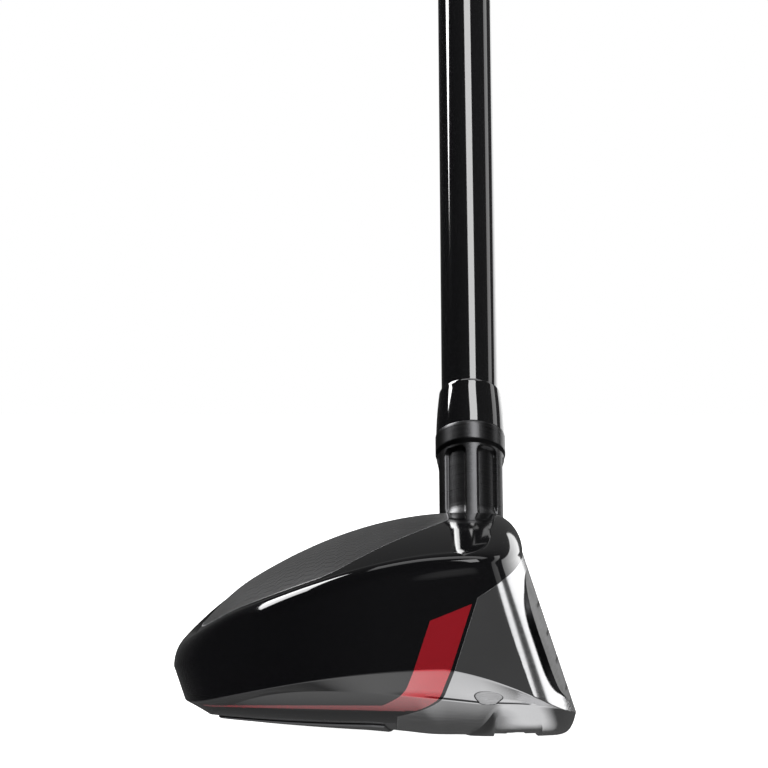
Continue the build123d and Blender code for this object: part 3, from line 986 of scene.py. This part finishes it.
@dataclass
class CrownPanel:
    """The carbon panel let into the crown, and the thin line of bond round it."""

    form: HeadForm

    def build(self) -> bpy.types.Object:
        """The panel with its small rolled rim."""
        outline = self.form.panel_outline(-0.06)
        centre = np.array([self.form.panel_centre, 0.0])
        rows = []
        for inset, drop in ((0.0, 0.9), (0.0, 0.10), (0.03, 0.03), (0.10, 0.0)):
            way = outline - centre
            place = centre + way * (1 - inset / np.linalg.norm(way, axis=1, keepdims=True))
            rows.append(np.column_stack([place, self.form.crown_z(place[:, 0], place[:, 1]) - drop]))
        for share in np.linspace(0.985, 0.03, 50):
            place = centre + share * (outline - centre)
            rows.append(np.column_stack([place, self.form.crown_z(place[:, 0], place[:, 1])]))
        panel = lidded("crown_skin", rows)
        sharpen(panel, 60)
        return panel

    def bond(self) -> bpy.types.Object:
        """The thin line of bond between the panel and the painted casting: a real strip, coloured light
        grey as a painted highlight along the seam.
        """
        inner, outer = self.form.panel_outline(-0.08), self.form.panel_outline(0.10)
        around = len(inner)
        rows = []
        for share, drop in ((0.0, 0.5), (0.0, 0.03), (0.5, -0.012), (1.0, 0.03), (1.0, 0.5)):
            place = inner + share * (outer - inner)
            rows.append(np.column_stack([place, self.form.crown_z(place[:, 0], place[:, 1]) - drop]))
        faces = grid_faces(len(rows), around, looped=True)
        bond = make_object("crown_bond", np.array(rows).reshape(-1, 3), faces)
        outwards(bond)
        sharpen(bond, 50)
        return bond


@dataclass
class FacePlate:
    """The face: a bulged plate with score lines."""

    form: HeadForm
    corners: tuple[tuple[float, float], ...] = (
        (-38, 10), (-38.5, 22.5), (-30, 26.5), (0, 27.4), (18, 25.5),
        (32, 18.5), (32, 10), (22, 6.4), (-24, 6.6),
    )
    radius: float = 4.0
    scores: tuple[float, ...] = (8.7, 13.0, 17.3, 21.6)
    score_half: float = 25.0
    middle: tuple[float, float] = (-3.0, 16.5)

    def outline(self, grow: float = 0.0) -> np.ndarray:
        """The plate's outline as (y, z) rows with rounded corners."""
        pts = np.array(self.corners, float)
        result = []
        for i, corner in enumerate(pts):
            before, after = pts[i - 1] - corner, pts[(i + 1) % len(pts)] - corner
            reach = min(self.radius, 0.45 * np.linalg.norm(before), 0.45 * np.linalg.norm(after))
            a = corner + before / np.linalg.norm(before) * reach
            b = corner + after / np.linalg.norm(after) * reach
            result += small_round(a, corner, b, 9)
        result = np.array(result)
        dense = []
        for a, b in zip(result, np.roll(result, -1, axis=0)):
            n = max(1, int(np.linalg.norm(b - a) / 0.8))
            dense += [a + (b - a) * t for t in np.linspace(0, 1, n, endpoint=False)]
        dense = np.array(dense)
        middle = np.array(self.middle)
        way = dense - middle
        return dense + way / np.linalg.norm(way, axis=1, keepdims=True) * grow

    def build(self) -> bpy.types.Object:
        """The plate, cut with its score lines."""
        outline = self.outline(-0.05)
        middle = np.array(self.middle)
        rows = []
        for share, depth in ((1.0, 1.5), (1.0, 0.06), (0.997, 0.0)):
            place = middle + share * (outline - middle)
            rows.append(np.column_stack([self.form.face_x(place[:, 0], place[:, 1]) - depth, place]))
        for share in np.linspace(0.97, 0.04, 34):
            place = middle + share * (outline - middle)
            rows.append(np.column_stack([self.form.face_x(place[:, 0], place[:, 1]), place]))
        plate = lidded("face_skin", rows)
        for z in self.scores:
            cut(plate, self.groove(z))
        sharpen(plate, 25)
        return plate

    def groove(self, z: float) -> bpy.types.Object:
        """A cutter for one score line, a shallow V that follows the bulge."""
        rows = []
        for y in np.linspace(-self.score_half, self.score_half, 41):
            x = self.form.face_x(y, z)
            section = ((0.5, -0.62), (-0.32, -0.12), (-0.32, 0.08), (0.5, 0.55))
            rows.append([[x + out, y, z + up] for out, up in section])
        rows = np.array(rows)
        end = 4 * (len(rows) - 1)
        faces = list(grid_faces(len(rows), 4)) + [(3, 2, 1, 0), tuple(range(end, end + 4))]
        tool = make_object("tool", rows.reshape(-1, 3), faces)
        outwards(tool)
        return tool


# ------------------------------------------------------------------ hosel, shaft and grip


@dataclass
class Hosel:
    """The fluted hosel with its collar, blended into the crown."""

    radius: float = 5.88
    collar: float = 6.1
    top: float = 53.9
    collar_from: float = 50.3
    bore: float = 4.85
    flute_top: float = 49.2
    flute_bottom: float = 36.3
    flute_half: float = 21.0
    flute_depth: float = 0.62
    flutes: int = 6
    blend: float = 1.9
    fine_rows: float = 2.6

    def turns(self) -> np.ndarray:
        """Angles round the hosel, closer at the flutes' edges."""
        pitch = 360.0 / self.flutes
        marks: list[float] = []
        for i in range(self.flutes):
            middle = i * pitch
            near = [-self.flute_half + d for d in (-1.2, -0.4, 0.4, 1.2, 2.0, 2.8, 3.6, 4.4, 5.4)]
            far = [-a for a in reversed(near)]
            floor = list(np.linspace(near[-1], far[0], 9)[1:-1])
            land = list(np.linspace(far[-1], pitch - self.flute_half - 1.2, 7)[1:-1])
            marks += [middle + a for a in near + floor + far + land]
        return np.radians(np.array(marks))

    def depth(self, turn: np.ndarray, along: np.ndarray) -> np.ndarray:
        """How deep the flutes are at each place."""
        pitch = 2 * math.pi / self.flutes
        local = (turn + pitch / 2) % pitch - pitch / 2
        half = math.radians(self.flute_half) * self.radius
        across = half - np.abs(local) * self.radius
        down = self.flute_top - along
        corner = 1.3
        near = np.minimum(across, down)
        inside = np.hypot(np.maximum(corner - across, 0), np.maximum(corner - down, 0))
        rounded = np.where((across < corner) & (down < corner), corner - inside, near)
        rise = np.clip((along - self.flute_bottom + 0.8) / 2.2, 0, 1)
        return self.flute_depth * step(rounded / 0.42) * step(rise)

    def build(self, tree: BVHTree) -> bpy.types.Object:
        """The hosel, its flutes and the round into the crown."""
        turn = self.turns()
        meet, landing = self.seat(tree, turn)
        rows = []
        start = LINE.point(self.radius, turn, meet + self.blend)
        knee = LINE.point(self.radius, turn, meet)
        for t in np.linspace(1.0, 0.0, 9):
            rows.append((1 - t) ** 2 * start + 2 * t * (1 - t) * knee + t * t * landing)
        begin = meet + self.blend
        fine_from = self.flute_top - self.fine_rows
        for share in np.linspace(0, 1, 22)[1:-1]:
            along = begin + (fine_from - begin) * share
            rows.append(LINE.point(self.radius - self.depth(turn, along), turn, along))
        for t in np.arange(fine_from, self.collar_from - 0.69, 0.16):
            along = np.full(len(turn), t)
            rows.append(LINE.point(self.radius - self.depth(turn, along), turn, along))
        c, lip = self.collar, 0.18
        foot = self.collar_from
        profile = [(self.radius, foot - 0.66), (self.radius + 0.03, foot - 0.62)]
        profile += [(c - 0.03, foot - 0.04), (c, foot), (c, foot + 0.3)]
        profile += [(c, t) for t in np.linspace(self.collar_from + 0.6, self.top - lip, 6)]
        profile += [(c - lip * 0.35, self.top - lip * 0.3), (c - lip, self.top)]
        profile += [(self.bore, self.top), (self.bore, self.top - 3)]
        for radius, t in profile:
            rows.append(LINE.point(radius, turn, t))
        rows = np.array(rows)
        hosel = make_object("hosel", rows.reshape(-1, 3), grid_faces(len(rows), len(turn)))
        outer = Vector(LINE.point(12.0, math.pi / 2, 52.0) * MM)
        with editing(hosel) as bm:
            bmesh.ops.recalc_face_normals(bm, faces=bm.faces)
            probe = min(bm.faces, key=lambda f: (f.calc_center_median() - outer).length)
            if probe.normal.dot(Vector(LINE.toeward)) < 0:
                bmesh.ops.reverse_faces(bm, faces=bm.faces)
        sharpen(hosel, 38)
        return hosel

    def seat(self, tree: BVHTree, turn: np.ndarray) -> tuple[np.ndarray, np.ndarray]:
        """Where the hosel's side meets the head, and where its round lands."""
        down = Vector(-LINE.along)
        meet = np.full(len(turn), np.nan)
        landing = np.zeros((len(turn), 3))
        for i, a in enumerate(turn):
            start = Vector(LINE.point(self.radius, a, 60.0) * MM)
            hit = tree.ray_cast(start, down)[0]
            meet[i] = 60.0 - (hit - start).length / MM if hit else np.nan
        meet[np.isnan(meet)] = np.nanmin(meet)
        meet = np.clip(meet, 24.0, 40.0)
        for _ in range(6):
            meet = (np.roll(meet, 1) + 2 * meet + np.roll(meet, -1)) / 4
        for i, a in enumerate(turn):
            out = LINE.point(self.radius + self.blend, a, 60.0)
            hit = tree.ray_cast(Vector(out * MM), down)[0]
            far = 60.0 - (hit - Vector(out * MM)).length / MM if hit else -99.0
            if abs(far - meet[i]) > 2.2:
                landing[i] = LINE.point(self.radius - 0.1, a, meet[i] - 2.0)
            else:
                landing[i] = LINE.point(self.radius + self.blend, a, far - 0.03)
        return meet, landing


@dataclass(frozen=True)
class Turned:
    """A piece turned about the shaft's axis from a profile of (radius, distance along)."""

    name: str
    profile: tuple[tuple[float, float], ...]
    around: int = 96
    angle: float = 35.0

    def build(self) -> bpy.types.Object:
        """Make the piece; the profile joins up."""
        turn = np.linspace(0, 2 * math.pi, self.around, endpoint=False)
        rows = np.array([LINE.point(radius, turn, along) for radius, along in self.profile])
        faces = grid_faces(len(rows), self.around, looped=True)
        piece = make_object(self.name, rows.reshape(-1, 3), faces)
        outwards(piece)
        sharpen(piece, self.angle)
        return piece


@dataclass
class ShaftSet:
    """The shaft, its ferrule and its label."""

    tip: float = 4.70
    radius: float = 4.93
    butt: float = 7.60
    tip_bore: float = 2.7
    butt_bore: float = 6.5
    parallel_end: float = 150.0
    end: float = 1017.0
    hosel_top: float = 53.9
    ferrule_top: float = 62.9
    label: tuple[float, float] = (672.0, 742.0)

    def radius_at(self, along: float) -> float:
        """The shaft's outer radius at a place."""
        share = min(1.0, max(0.0, (along - self.parallel_end) / (self.end - self.parallel_end)))
        return self.radius + (self.butt - self.radius) * share

    def shaft(self) -> bpy.types.Object:
        """The painted tube from inside the ferrule to inside the grip."""
        low = self.ferrule_top - 6.0
        profile = [(self.tip_bore, low), (self.tip, low), (self.tip, self.ferrule_top)]
        profile += [(self.radius - 0.05, self.ferrule_top), (self.radius, self.ferrule_top + 0.06)]
        stops = [*np.linspace(self.ferrule_top + 4, self.parallel_end, 8)]
        stops += [*np.linspace(180, self.end, 36)]
        profile += [(self.radius_at(t), t) for t in stops]
        profile += [(self.butt_bore, self.end), (self.tip_bore, self.parallel_end)]
        return Turned("shaft_tube", tuple(profile)).build()

    def ferrule(self) -> bpy.types.Object:
        """The short tapered ring above the hosel, with a rounded lip."""
        low, high = 5.98, 5.40
        profile = [(self.tip, self.hosel_top), (low - 0.12, self.hosel_top)]
        profile.append((low, self.hosel_top + 0.12))
        for share in np.linspace(0.05, 1.0, 10):
            along = self.hosel_top + share * (self.ferrule_top - 0.75 - self.hosel_top)
            bow = 0.10 * math.sin(math.pi * share)
            profile.append((low + (high - low) * share + bow, along))
        for turn in np.linspace(0.15, 1.0, 6):
            a = turn * math.pi / 2
            along = self.ferrule_top - 0.75 + 0.75 * math.sin(a)
            profile.append((high - 0.42 * (1 - math.cos(a)), along))
        profile.append((self.tip, self.ferrule_top))
        return Turned("ferrule_ring", tuple(profile), around=128).build()

    def band(self) -> bpy.types.Object:
        """The film label, a hair proud of the paint."""
        start, end = self.label
        profile = [(self.radius_at(start), start), (self.radius_at(start) + 0.11, start + 0.05)]
        profile += [(self.radius_at(t) + 0.12, t) for t in np.linspace(start + 0.3, end - 0.3, 8)]
        profile += [(self.radius_at(end) + 0.11, end - 0.05), (self.radius_at(end), end)]
        return Turned("label_band", tuple(profile)).build()


@dataclass
class Grip:
    """The rubber grip with its moulded pattern and end cap."""

    start: float = 754.0
    end: float = 1017.0
    mouth: float = 8.9
    butt: float = 12.6
    cap_radius: float = 14.8
    length: float = 1022.0
    vent: float = 1.6
    rows: int = 62
    columns: int = 20

    def radius_at(self, along: float) -> float:
        """The grip's outer radius at a place."""
        share = (along - self.start) / (self.end - self.start)
        return self.mouth + (self.butt - self.mouth) * share - 0.1 * math.sin(math.pi * share)

    def sleeve(self, shaft: ShaftSet) -> bpy.types.Object:
        """The tapered sleeve, with shallow rings at its mouth."""
        inner = shaft.radius_at(self.start) + 0.12
        profile = [(inner, self.start), (self.mouth - 0.7, self.start)]
        for turn in np.linspace(0.2, 1.0, 5):
            a = turn * math.pi / 2
            profile.append((self.mouth - 0.7 + 0.7 * math.sin(a), self.start + 1.4 * (1 - math.cos(a))))
        for ring in range(3):
            at = self.start + 5.0 + ring * 3.0
            profile += [(self.radius_at(at - 0.6), at - 0.6), (self.radius_at(at) - 0.45, at - 0.25),
                        (self.radius_at(at) - 0.45, at + 0.25), (self.radius_at(at + 0.6), at + 0.6)]
        profile += [(self.radius_at(t), t) for t in np.linspace(self.start + 14, self.end, 60)]
        skirt = self.start + 3
        profile += [(7.75, self.end), (shaft.radius_at(skirt) + 0.15, skirt), (inner, skirt)]
        return Turned("grip_sleeve", tuple(profile), around=112).build()

    def cap(self) -> bpy.types.Object:
        """The hard rubber end with its vent hole."""
        top, r = self.length, self.cap_radius
        profile = [(self.vent, self.end), (7.7, self.end), (r - 1.2, self.end)]
        for a in np.linspace(0.3, 1.5708, 6):
            profile.append((r - 1.2 + 1.2 * math.sin(a), self.end + 1.2 * (1 - math.cos(a))))
        for a in np.linspace(0, 1.5708, 8):
            profile.append((r - 1.4 + 1.4 * math.cos(a), top - 1.4 + 1.4 * math.sin(a)))
        profile += [(10.4, top), (10.2, top - 0.35), (9.8, top - 0.35), (9.6, top)]
        profile += [(3.2, top), (3.0, top - 0.3)]
        profile += [(2.4, top - 0.3), (self.vent, top - 0.5)]
        return Turned("grip_end", tuple(profile), around=112).build()

    def pattern(self, material: bpy.types.Material) -> bpy.types.Object:
        """Raised lozenges, one shape set out over the sleeve by a node group."""
        lozenge = self.lozenge()
        lozenge.data.materials.append(material)
        points, turns = [], []
        for i in range(self.rows):
            along = self.start + 20.0 + i * (self.end - self.start - 34.0) / (self.rows - 1)
            for j in range(self.columns):
                turn = (j + 0.5 * (i % 2)) * 2 * math.pi / self.columns
                points.append(LINE.point(self.radius_at(along) - 0.12, turn, along))
                turns.append(math.cos(turn) * np.array([1.0, 0, 0]) + math.sin(turn) * LINE.toeward)
        seeds = make_object("grip_pattern", np.array(points), [])
        out = seeds.data.attributes.new("out", "FLOAT_VECTOR", "POINT")
        out.data.foreach_set("vector", np.array(turns).ravel())
        group = self.node_group(lozenge, material)
        change = seeds.modifiers.new("pattern", "NODES")
        change.node_group = group
        settle(seeds)
        bpy.data.objects.remove(lozenge)
        return seeds

    def lozenge(self) -> bpy.types.Object:
        """One raised lozenge, lying in its own XY plane, long along Y."""
        base = [(0.95, 0.0), (0.0, 1.75), (-0.95, 0.0), (0.0, -1.75)]
        points = [(x, y, 0.0) for x, y in base] + [(x * 0.86, y * 0.88, 0.30) for x, y in base]
        points += [(x * 0.62, y * 0.68, 0.36) for x, y in base]
        faces = [(i, (i + 1) % 4, 4 + (i + 1) % 4, 4 + i) for i in range(4)]
        faces += [(4 + i, 4 + (i + 1) % 4, 8 + (i + 1) % 4, 8 + i) for i in range(4)]
        faces += [(8, 9, 10, 11), (3, 2, 1, 0)]
        return make_object("lozenge", np.array(points), faces, smooth=False)

    def node_group(
        self, lozenge: bpy.types.Object, material: bpy.types.Material
    ) -> bpy.types.NodeTree:
        """The nodes that stand the lozenge on each point, facing outwards and along the shaft."""
        group = bpy.data.node_groups.new("grip_lozenges", "GeometryNodeTree")
        group.interface.new_socket("Points", in_out="INPUT", socket_type="NodeSocketGeometry")
        group.interface.new_socket("Lozenges", in_out="OUTPUT", socket_type="NodeSocketGeometry")
        nodes, links = group.nodes, group.links
        source, target = nodes.new("NodeGroupInput"), nodes.new("NodeGroupOutput")
        spread = nodes.new("GeometryNodeInstanceOnPoints")
        shape = nodes.new("GeometryNodeObjectInfo")
        shape.inputs["Object"].default_value = lozenge
        out = nodes.new("GeometryNodeInputNamedAttribute")
        out.data_type = "FLOAT_VECTOR"
        out.inputs["Name"].default_value = "out"
        face_out = nodes.new("FunctionNodeAlignRotationToVector")
        face_out.axis = "Z"
        face_along = nodes.new("FunctionNodeAlignRotationToVector")
        face_along.axis = "Y"
        face_along.pivot_axis = "Z"
        face_along.inputs["Vector"].default_value = tuple(LINE.along)
        real = nodes.new("GeometryNodeRealizeInstances")
        paint = nodes.new("GeometryNodeSetMaterial")
        paint.inputs["Material"].default_value = material
        links.new(out.outputs["Attribute"], face_out.inputs["Vector"])
        links.new(face_out.outputs["Rotation"], face_along.inputs["Rotation"])
        links.new(source.outputs["Points"], spread.inputs["Points"])
        links.new(shape.outputs["Geometry"], spread.inputs["Instance"])
        links.new(face_along.outputs["Rotation"], spread.inputs["Rotation"])
        links.new(spread.outputs["Instances"], real.inputs["Geometry"])
        links.new(real.outputs["Geometry"], paint.inputs["Geometry"])
        links.new(paint.outputs["Geometry"], target.inputs["Lozenges"])
        return group


# ------------------------------------------------------------------ studio


@dataclass(frozen=True)
class SoftBox:
    """A soft studio light: a glowing rectangle that looks at a point."""

    name: str
    at: tuple[float, float, float]
    size: tuple[float, float]
    power: float
    aim: tuple[float, float, float] = (0.0, 0.0, 0.03)
    roll: float = 0.0

    def place(self) -> None:
        """Put the light in the scene."""
        light = bpy.data.lights.new(self.name, "AREA")
        light.shape = "RECTANGLE"
        light.size, light.size_y = self.size
        light.energy = self.power
        obj = bpy.data.objects.new(self.name, light)
        bpy.context.scene.collection.objects.link(obj)
        obj.location = self.at
        way = Vector(self.aim) - Vector(self.at)
        turn = Quaternion((0.0, 0.0, 1.0), math.radians(self.roll))
        obj.rotation_euler = (way.to_track_quat("-Z", "Y") @ turn).to_euler()
        obj.visible_camera = False


@dataclass
class Studio:
    """Pale floor, soft lights, pale backdrop and the camera."""

    camera_at: tuple[float, float, float] = (-0.0151, -0.600, 0.05576)
    focal: float = 175.03
    floor_half: float = 6000.0
    floor_drop: float = 0.02
    floor_glow: float = 1.05
    low_glow: tuple[float, ...] = (-0.45, -0.80, 0.075, 0.95)
    front_glow: tuple[float, ...] = (-0.75, -0.05, 0.10, 1.0)
    boxes: tuple[SoftBox, ...] = (
        SoftBox("top", (0.10, 0.35, 1.30), (1.1, 0.5), 3.4),
        SoftBox("front_high", (0.24, -0.52, 1.15), (0.44, 0.80), 9.0),
        SoftBox("right", (1.14, 0.46, 0.58), (1.50, 0.34), 2.2, roll=28.0),
        SoftBox("behind_right", (0.75, 1.25, 0.17), (1.10, 0.34), 1.7),
        SoftBox("rear_left", (-0.70, 0.50, 0.84), (0.65, 0.40), 13.0),
    )

    def build(self) -> None:
        """Set up the whole studio."""
        self.floor()
        self.backdrop()
        for box in self.boxes:
            box.place()
        self.camera()
        view = bpy.context.scene.view_settings
        view.view_transform = "Standard"
        view.look = "None"

    def floor(self) -> None:
        """A plain pale floor just under the sole."""
        signs = ((-1, -1), (1, -1), (1, 1), (-1, 1))
        points = [(x * self.floor_half, y * self.floor_half, -self.floor_drop) for x, y in signs]
        obj = make_object("floor", np.array(points), [(0, 1, 2, 3)], smooth=False)
        r = Recipe("floor_paint")
        mottle = r.noise(r.place, 3.0, 2.0)
        r.set("Base Color", r.mix(mottle, (0.90, 0.90, 0.90), (0.93, 0.93, 0.93)))
        r.set("Roughness", 0.9)
        r.set("Emission Color", (1.0, 1.0, 1.0))
        r.set("Emission Strength", self.floor_glow)
        dress(obj, r.material)
        obj.visible_glossy = False

    def backdrop(self) -> None:
        """White behind the club for the camera, and a dim surround for reflections."""
        world = bpy.data.worlds.new("surround")
        bpy.context.scene.world = world
        world.use_nodes = True
        tree = world.node_tree
        tree.nodes.clear()
        new, link = tree.nodes.new, tree.links.new
        split, both = new("ShaderNodeSeparateXYZ"), new("ShaderNodeMath")
        both.operation = "MULTIPLY"
        link(new("ShaderNodeTexCoord").outputs["Generated"], split.inputs[0])
        for axis, socket, glow in (("Z", 0, self.low_glow), ("X", 1, self.front_glow)):
            ramp = new("ShaderNodeMapRange")
            for name, number in zip(RANGE_SOCKETS, glow):
                ramp.inputs[name].default_value = number
            link(split.outputs[axis], ramp.inputs["Value"])
            link(ramp.outputs["Result"], both.inputs[socket])
        white, dim = new("ShaderNodeBackground"), new("ShaderNodeBackground")
        for light in (white, dim):
            light.inputs["Color"].default_value = (1, 1, 1, 1)
        white.inputs["Strength"].default_value = 1.0
        link(both.outputs[0], dim.inputs["Strength"])
        choose, out = new("ShaderNodeMixShader"), new("ShaderNodeOutputWorld")
        link(new("ShaderNodeLightPath").outputs["Is Camera Ray"], choose.inputs["Fac"])
        link(dim.outputs[0], choose.inputs[1])
        link(white.outputs[0], choose.inputs[2])
        link(choose.outputs[0], out.inputs["Surface"])

    def camera(self) -> None:
        """The camera, level with the head and looking from toe to heel."""
        data = bpy.data.cameras.new("camera")
        data.lens = self.focal
        data.sensor_width = 36.0
        data.clip_start = 0.01
        obj = bpy.data.objects.new("camera", data)
        bpy.context.scene.collection.objects.link(obj)
        obj.location = self.camera_at
        obj.rotation_euler = (math.pi / 2, 0.0, 0.0)
        bpy.context.scene.camera = obj


# ------------------------------------------------------------------ the whole club


@dataclass
class Club:
    """Builds and dresses every visible piece of the club."""

    head: HeadShell = field(default_factory=HeadShell)
    hosel: Hosel = field(default_factory=Hosel)
    shaft: ShaftSet = field(default_factory=ShaftSet)
    grip: Grip = field(default_factory=Grip)

    def build_head(self) -> None:
        """The casting with its hosel, the crown panel, the face and the port."""
        panel = CrownPanel(self.head.form)
        face = FacePlate(self.head.form)
        skin = self.head.skin()
        tree = self.head.tree(skin)
        dark_steel = BrushedSteel("hosel_steel", (0.06, 0.06, 0.062), 0.30, depth=0.005)
        hosel = dress(self.hosel.build(tree), dark_steel.make())
        pad = self.head.keel_pad(tree)
        head = self.head
        channel = head.sole_tool(tree, head.channel_x, head.channel_half, head.channel_depth)
        slot = head.sole_tool(tree, head.slot_x, head.slot_half, 2.5)
        plug = self.port_cap(tree)
        cut(skin, channel)
        cut(skin, slot)
        cut(skin, head.rod(head.port, head.port_axis, head.port_radius + 0.1, 3.0))
        cut(skin, self.head.prism_x(face.outline(0.05)))
        self.drop_inside(skin)
        finish = HeadFinish().make()
        dress(skin, finish)
        dress(pad, finish)
        shell = join("head_shell_skin", [skin, pad])
        sharpen(shell, 30)
        stand_in(shell, "body_steel", "head_body")
        stand_in(hosel, "body_steel")
        hosel.name = "hosel_skin"
        stand_in(dress(panel.build(), CarbonWeave().make()), "crown_carbon", "crown_panel")
        # the bond strip's light grey colour is a painted highlight along the crown seam
        glue_painted_highlight = Moulded("bond_line", (0.30, 0.30, 0.31), 0.35, 900.0, 0.004)
        stand_in(dress(panel.bond(), glue_painted_highlight.make()), "adhesive", "crown_adhesive")
        black = BrushedSteel("face_black", (0.035, 0.035, 0.037), 0.42, Brushing.ACROSS_FACE, 0.012)
        stand_in(dress(face.build(), black.make()), "face_steel", "face_plate")
        satin = BrushedSteel("port_steel", (0.55, 0.55, 0.56), 0.2, Brushing.ACROSS_FACE)
        stand_in(dress(plug, satin.make()), "port_steel", "port_plug")

    def drop_inside(self, skin: bpy.types.Object) -> None:
        """Take away the floors that the deep cuts leave inside the shell."""
        with editing(skin) as bm:
            doomed = []
            for face in bm.faces:
                from_back = abs(face.calc_center_median().x / MM - self.head.pocket_back)
                if abs(face.normal.x) > 0.98 and from_back < 0.2:
                    doomed.append(face)
            bmesh.ops.delete(bm, geom=doomed, context="FACES")

    def port_cap(self, tree: BVHTree) -> bpy.types.Object:
        """The flush plug, a disc that follows the facet with a rolled rim."""
        axis = Vector(self.head.port_axis).normalized()
        side = axis.cross(Vector((1, 0, 0))).normalized()
        other = axis.cross(side)
        rows = []
        around = 64
        plans = [(1.0, 0.6), (1.0, 0.10), (0.985, 0.03), (0.95, 0.0)]
        plans += [(share, 0.0) for share in np.linspace(0.85, 0.08, 8)]
        for share, sink in plans:
            row = []
            for j in range(around):
                a = 2 * math.pi * j / around
                spoke = (side * math.cos(a) + other * math.sin(a)) * self.head.port_radius * share
                place = Vector(self.head.port) + spoke
                hit = tree.ray_cast((place + axis * 4.0) * MM, -axis)[0]
                point = (hit / MM if hit else place) - axis * sink
                row.append(list(point))
            rows.append(row)
        plug = lidded("port_cap", rows, backwards=False)
        sharpen(plug, 40)
        return plug

    def build_shaft(self) -> None:
        """The shaft, ferrule and label."""
        stand_in(dress(self.shaft.shaft(), GlossPaint("shaft_paint").make()), "shaft_paint", "shaft")
        gloss = GlossPaint("ferrule_gloss", flake=0.0)
        stand_in(dress(self.shaft.ferrule(), gloss.make()), "ferrule_plastic", "ferrule")
        stand_in(dress(self.shaft.band(), BandPrint().make()), "label_film", "shaft_label")

    def build_grip(self) -> None:
        """The grip, its pattern and its cap."""
        rubber = Moulded("grip_rubber", (0.011, 0.011, 0.012), 0.62, 1800.0, 0.03).make()
        sleeve = dress(self.grip.sleeve(self.shaft), rubber)
        pattern = self.grip.pattern(rubber)
        stand_in(sleeve, "grip_rubber", "grip")
        stand_in(pattern, "grip_rubber")
        hard = Moulded("cap_rubber", (0.009, 0.009, 0.010), 0.5, 2200.0, 0.02)
        stand_in(dress(self.grip.cap(), hard.make()), "cap_rubber", "grip_cap")

    def dress_nodes(self) -> None:
        """Finish the model's own pieces that stay."""
        finishes = {
            "slot_insert": Moulded("slot_plastic", (0.008, 0.008, 0.009), 0.5, 1500.0, 0.01),
            "hosel_epoxy": Moulded("epoxy", (0.34, 0.32, 0.26), 0.3, 600.0, 0.004),
            "hot_melt_weight": Moulded("hot_melt", (0.50, 0.36, 0.12), 0.35, 400.0, 0.05),
            "tip_weight": BrushedSteel("tip_brass", (0.70, 0.52, 0.24), 0.25),
            "grip_tape": Moulded("tape_crepe", (0.62, 0.56, 0.40), 0.8, 1200.0, 0.03),
        }
        for name, finish in finishes.items():
            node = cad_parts.get(name)
            if node is None:
                LOG.warning("no node %s", name)
                continue
            material = finish.make()
            for slot in node.material_slots:
                slot.material = material
            if not node.material_slots:
                node.data.materials.append(material)


def main() -> None:
    """Build the club and its studio."""
    logging.basicConfig(level=logging.INFO, format="%(name)s: %(message)s")
    club = Club()
    stages = {
        "head": club.build_head,
        "shaft": club.build_shaft,
        "grip": club.build_grip,
        "model nodes": club.dress_nodes,
        "studio": Studio().build,
    }
    for label, work in stages.items():
        LOG.info("building %s", label)
        work()


if __name__ == "__main__":
    main()
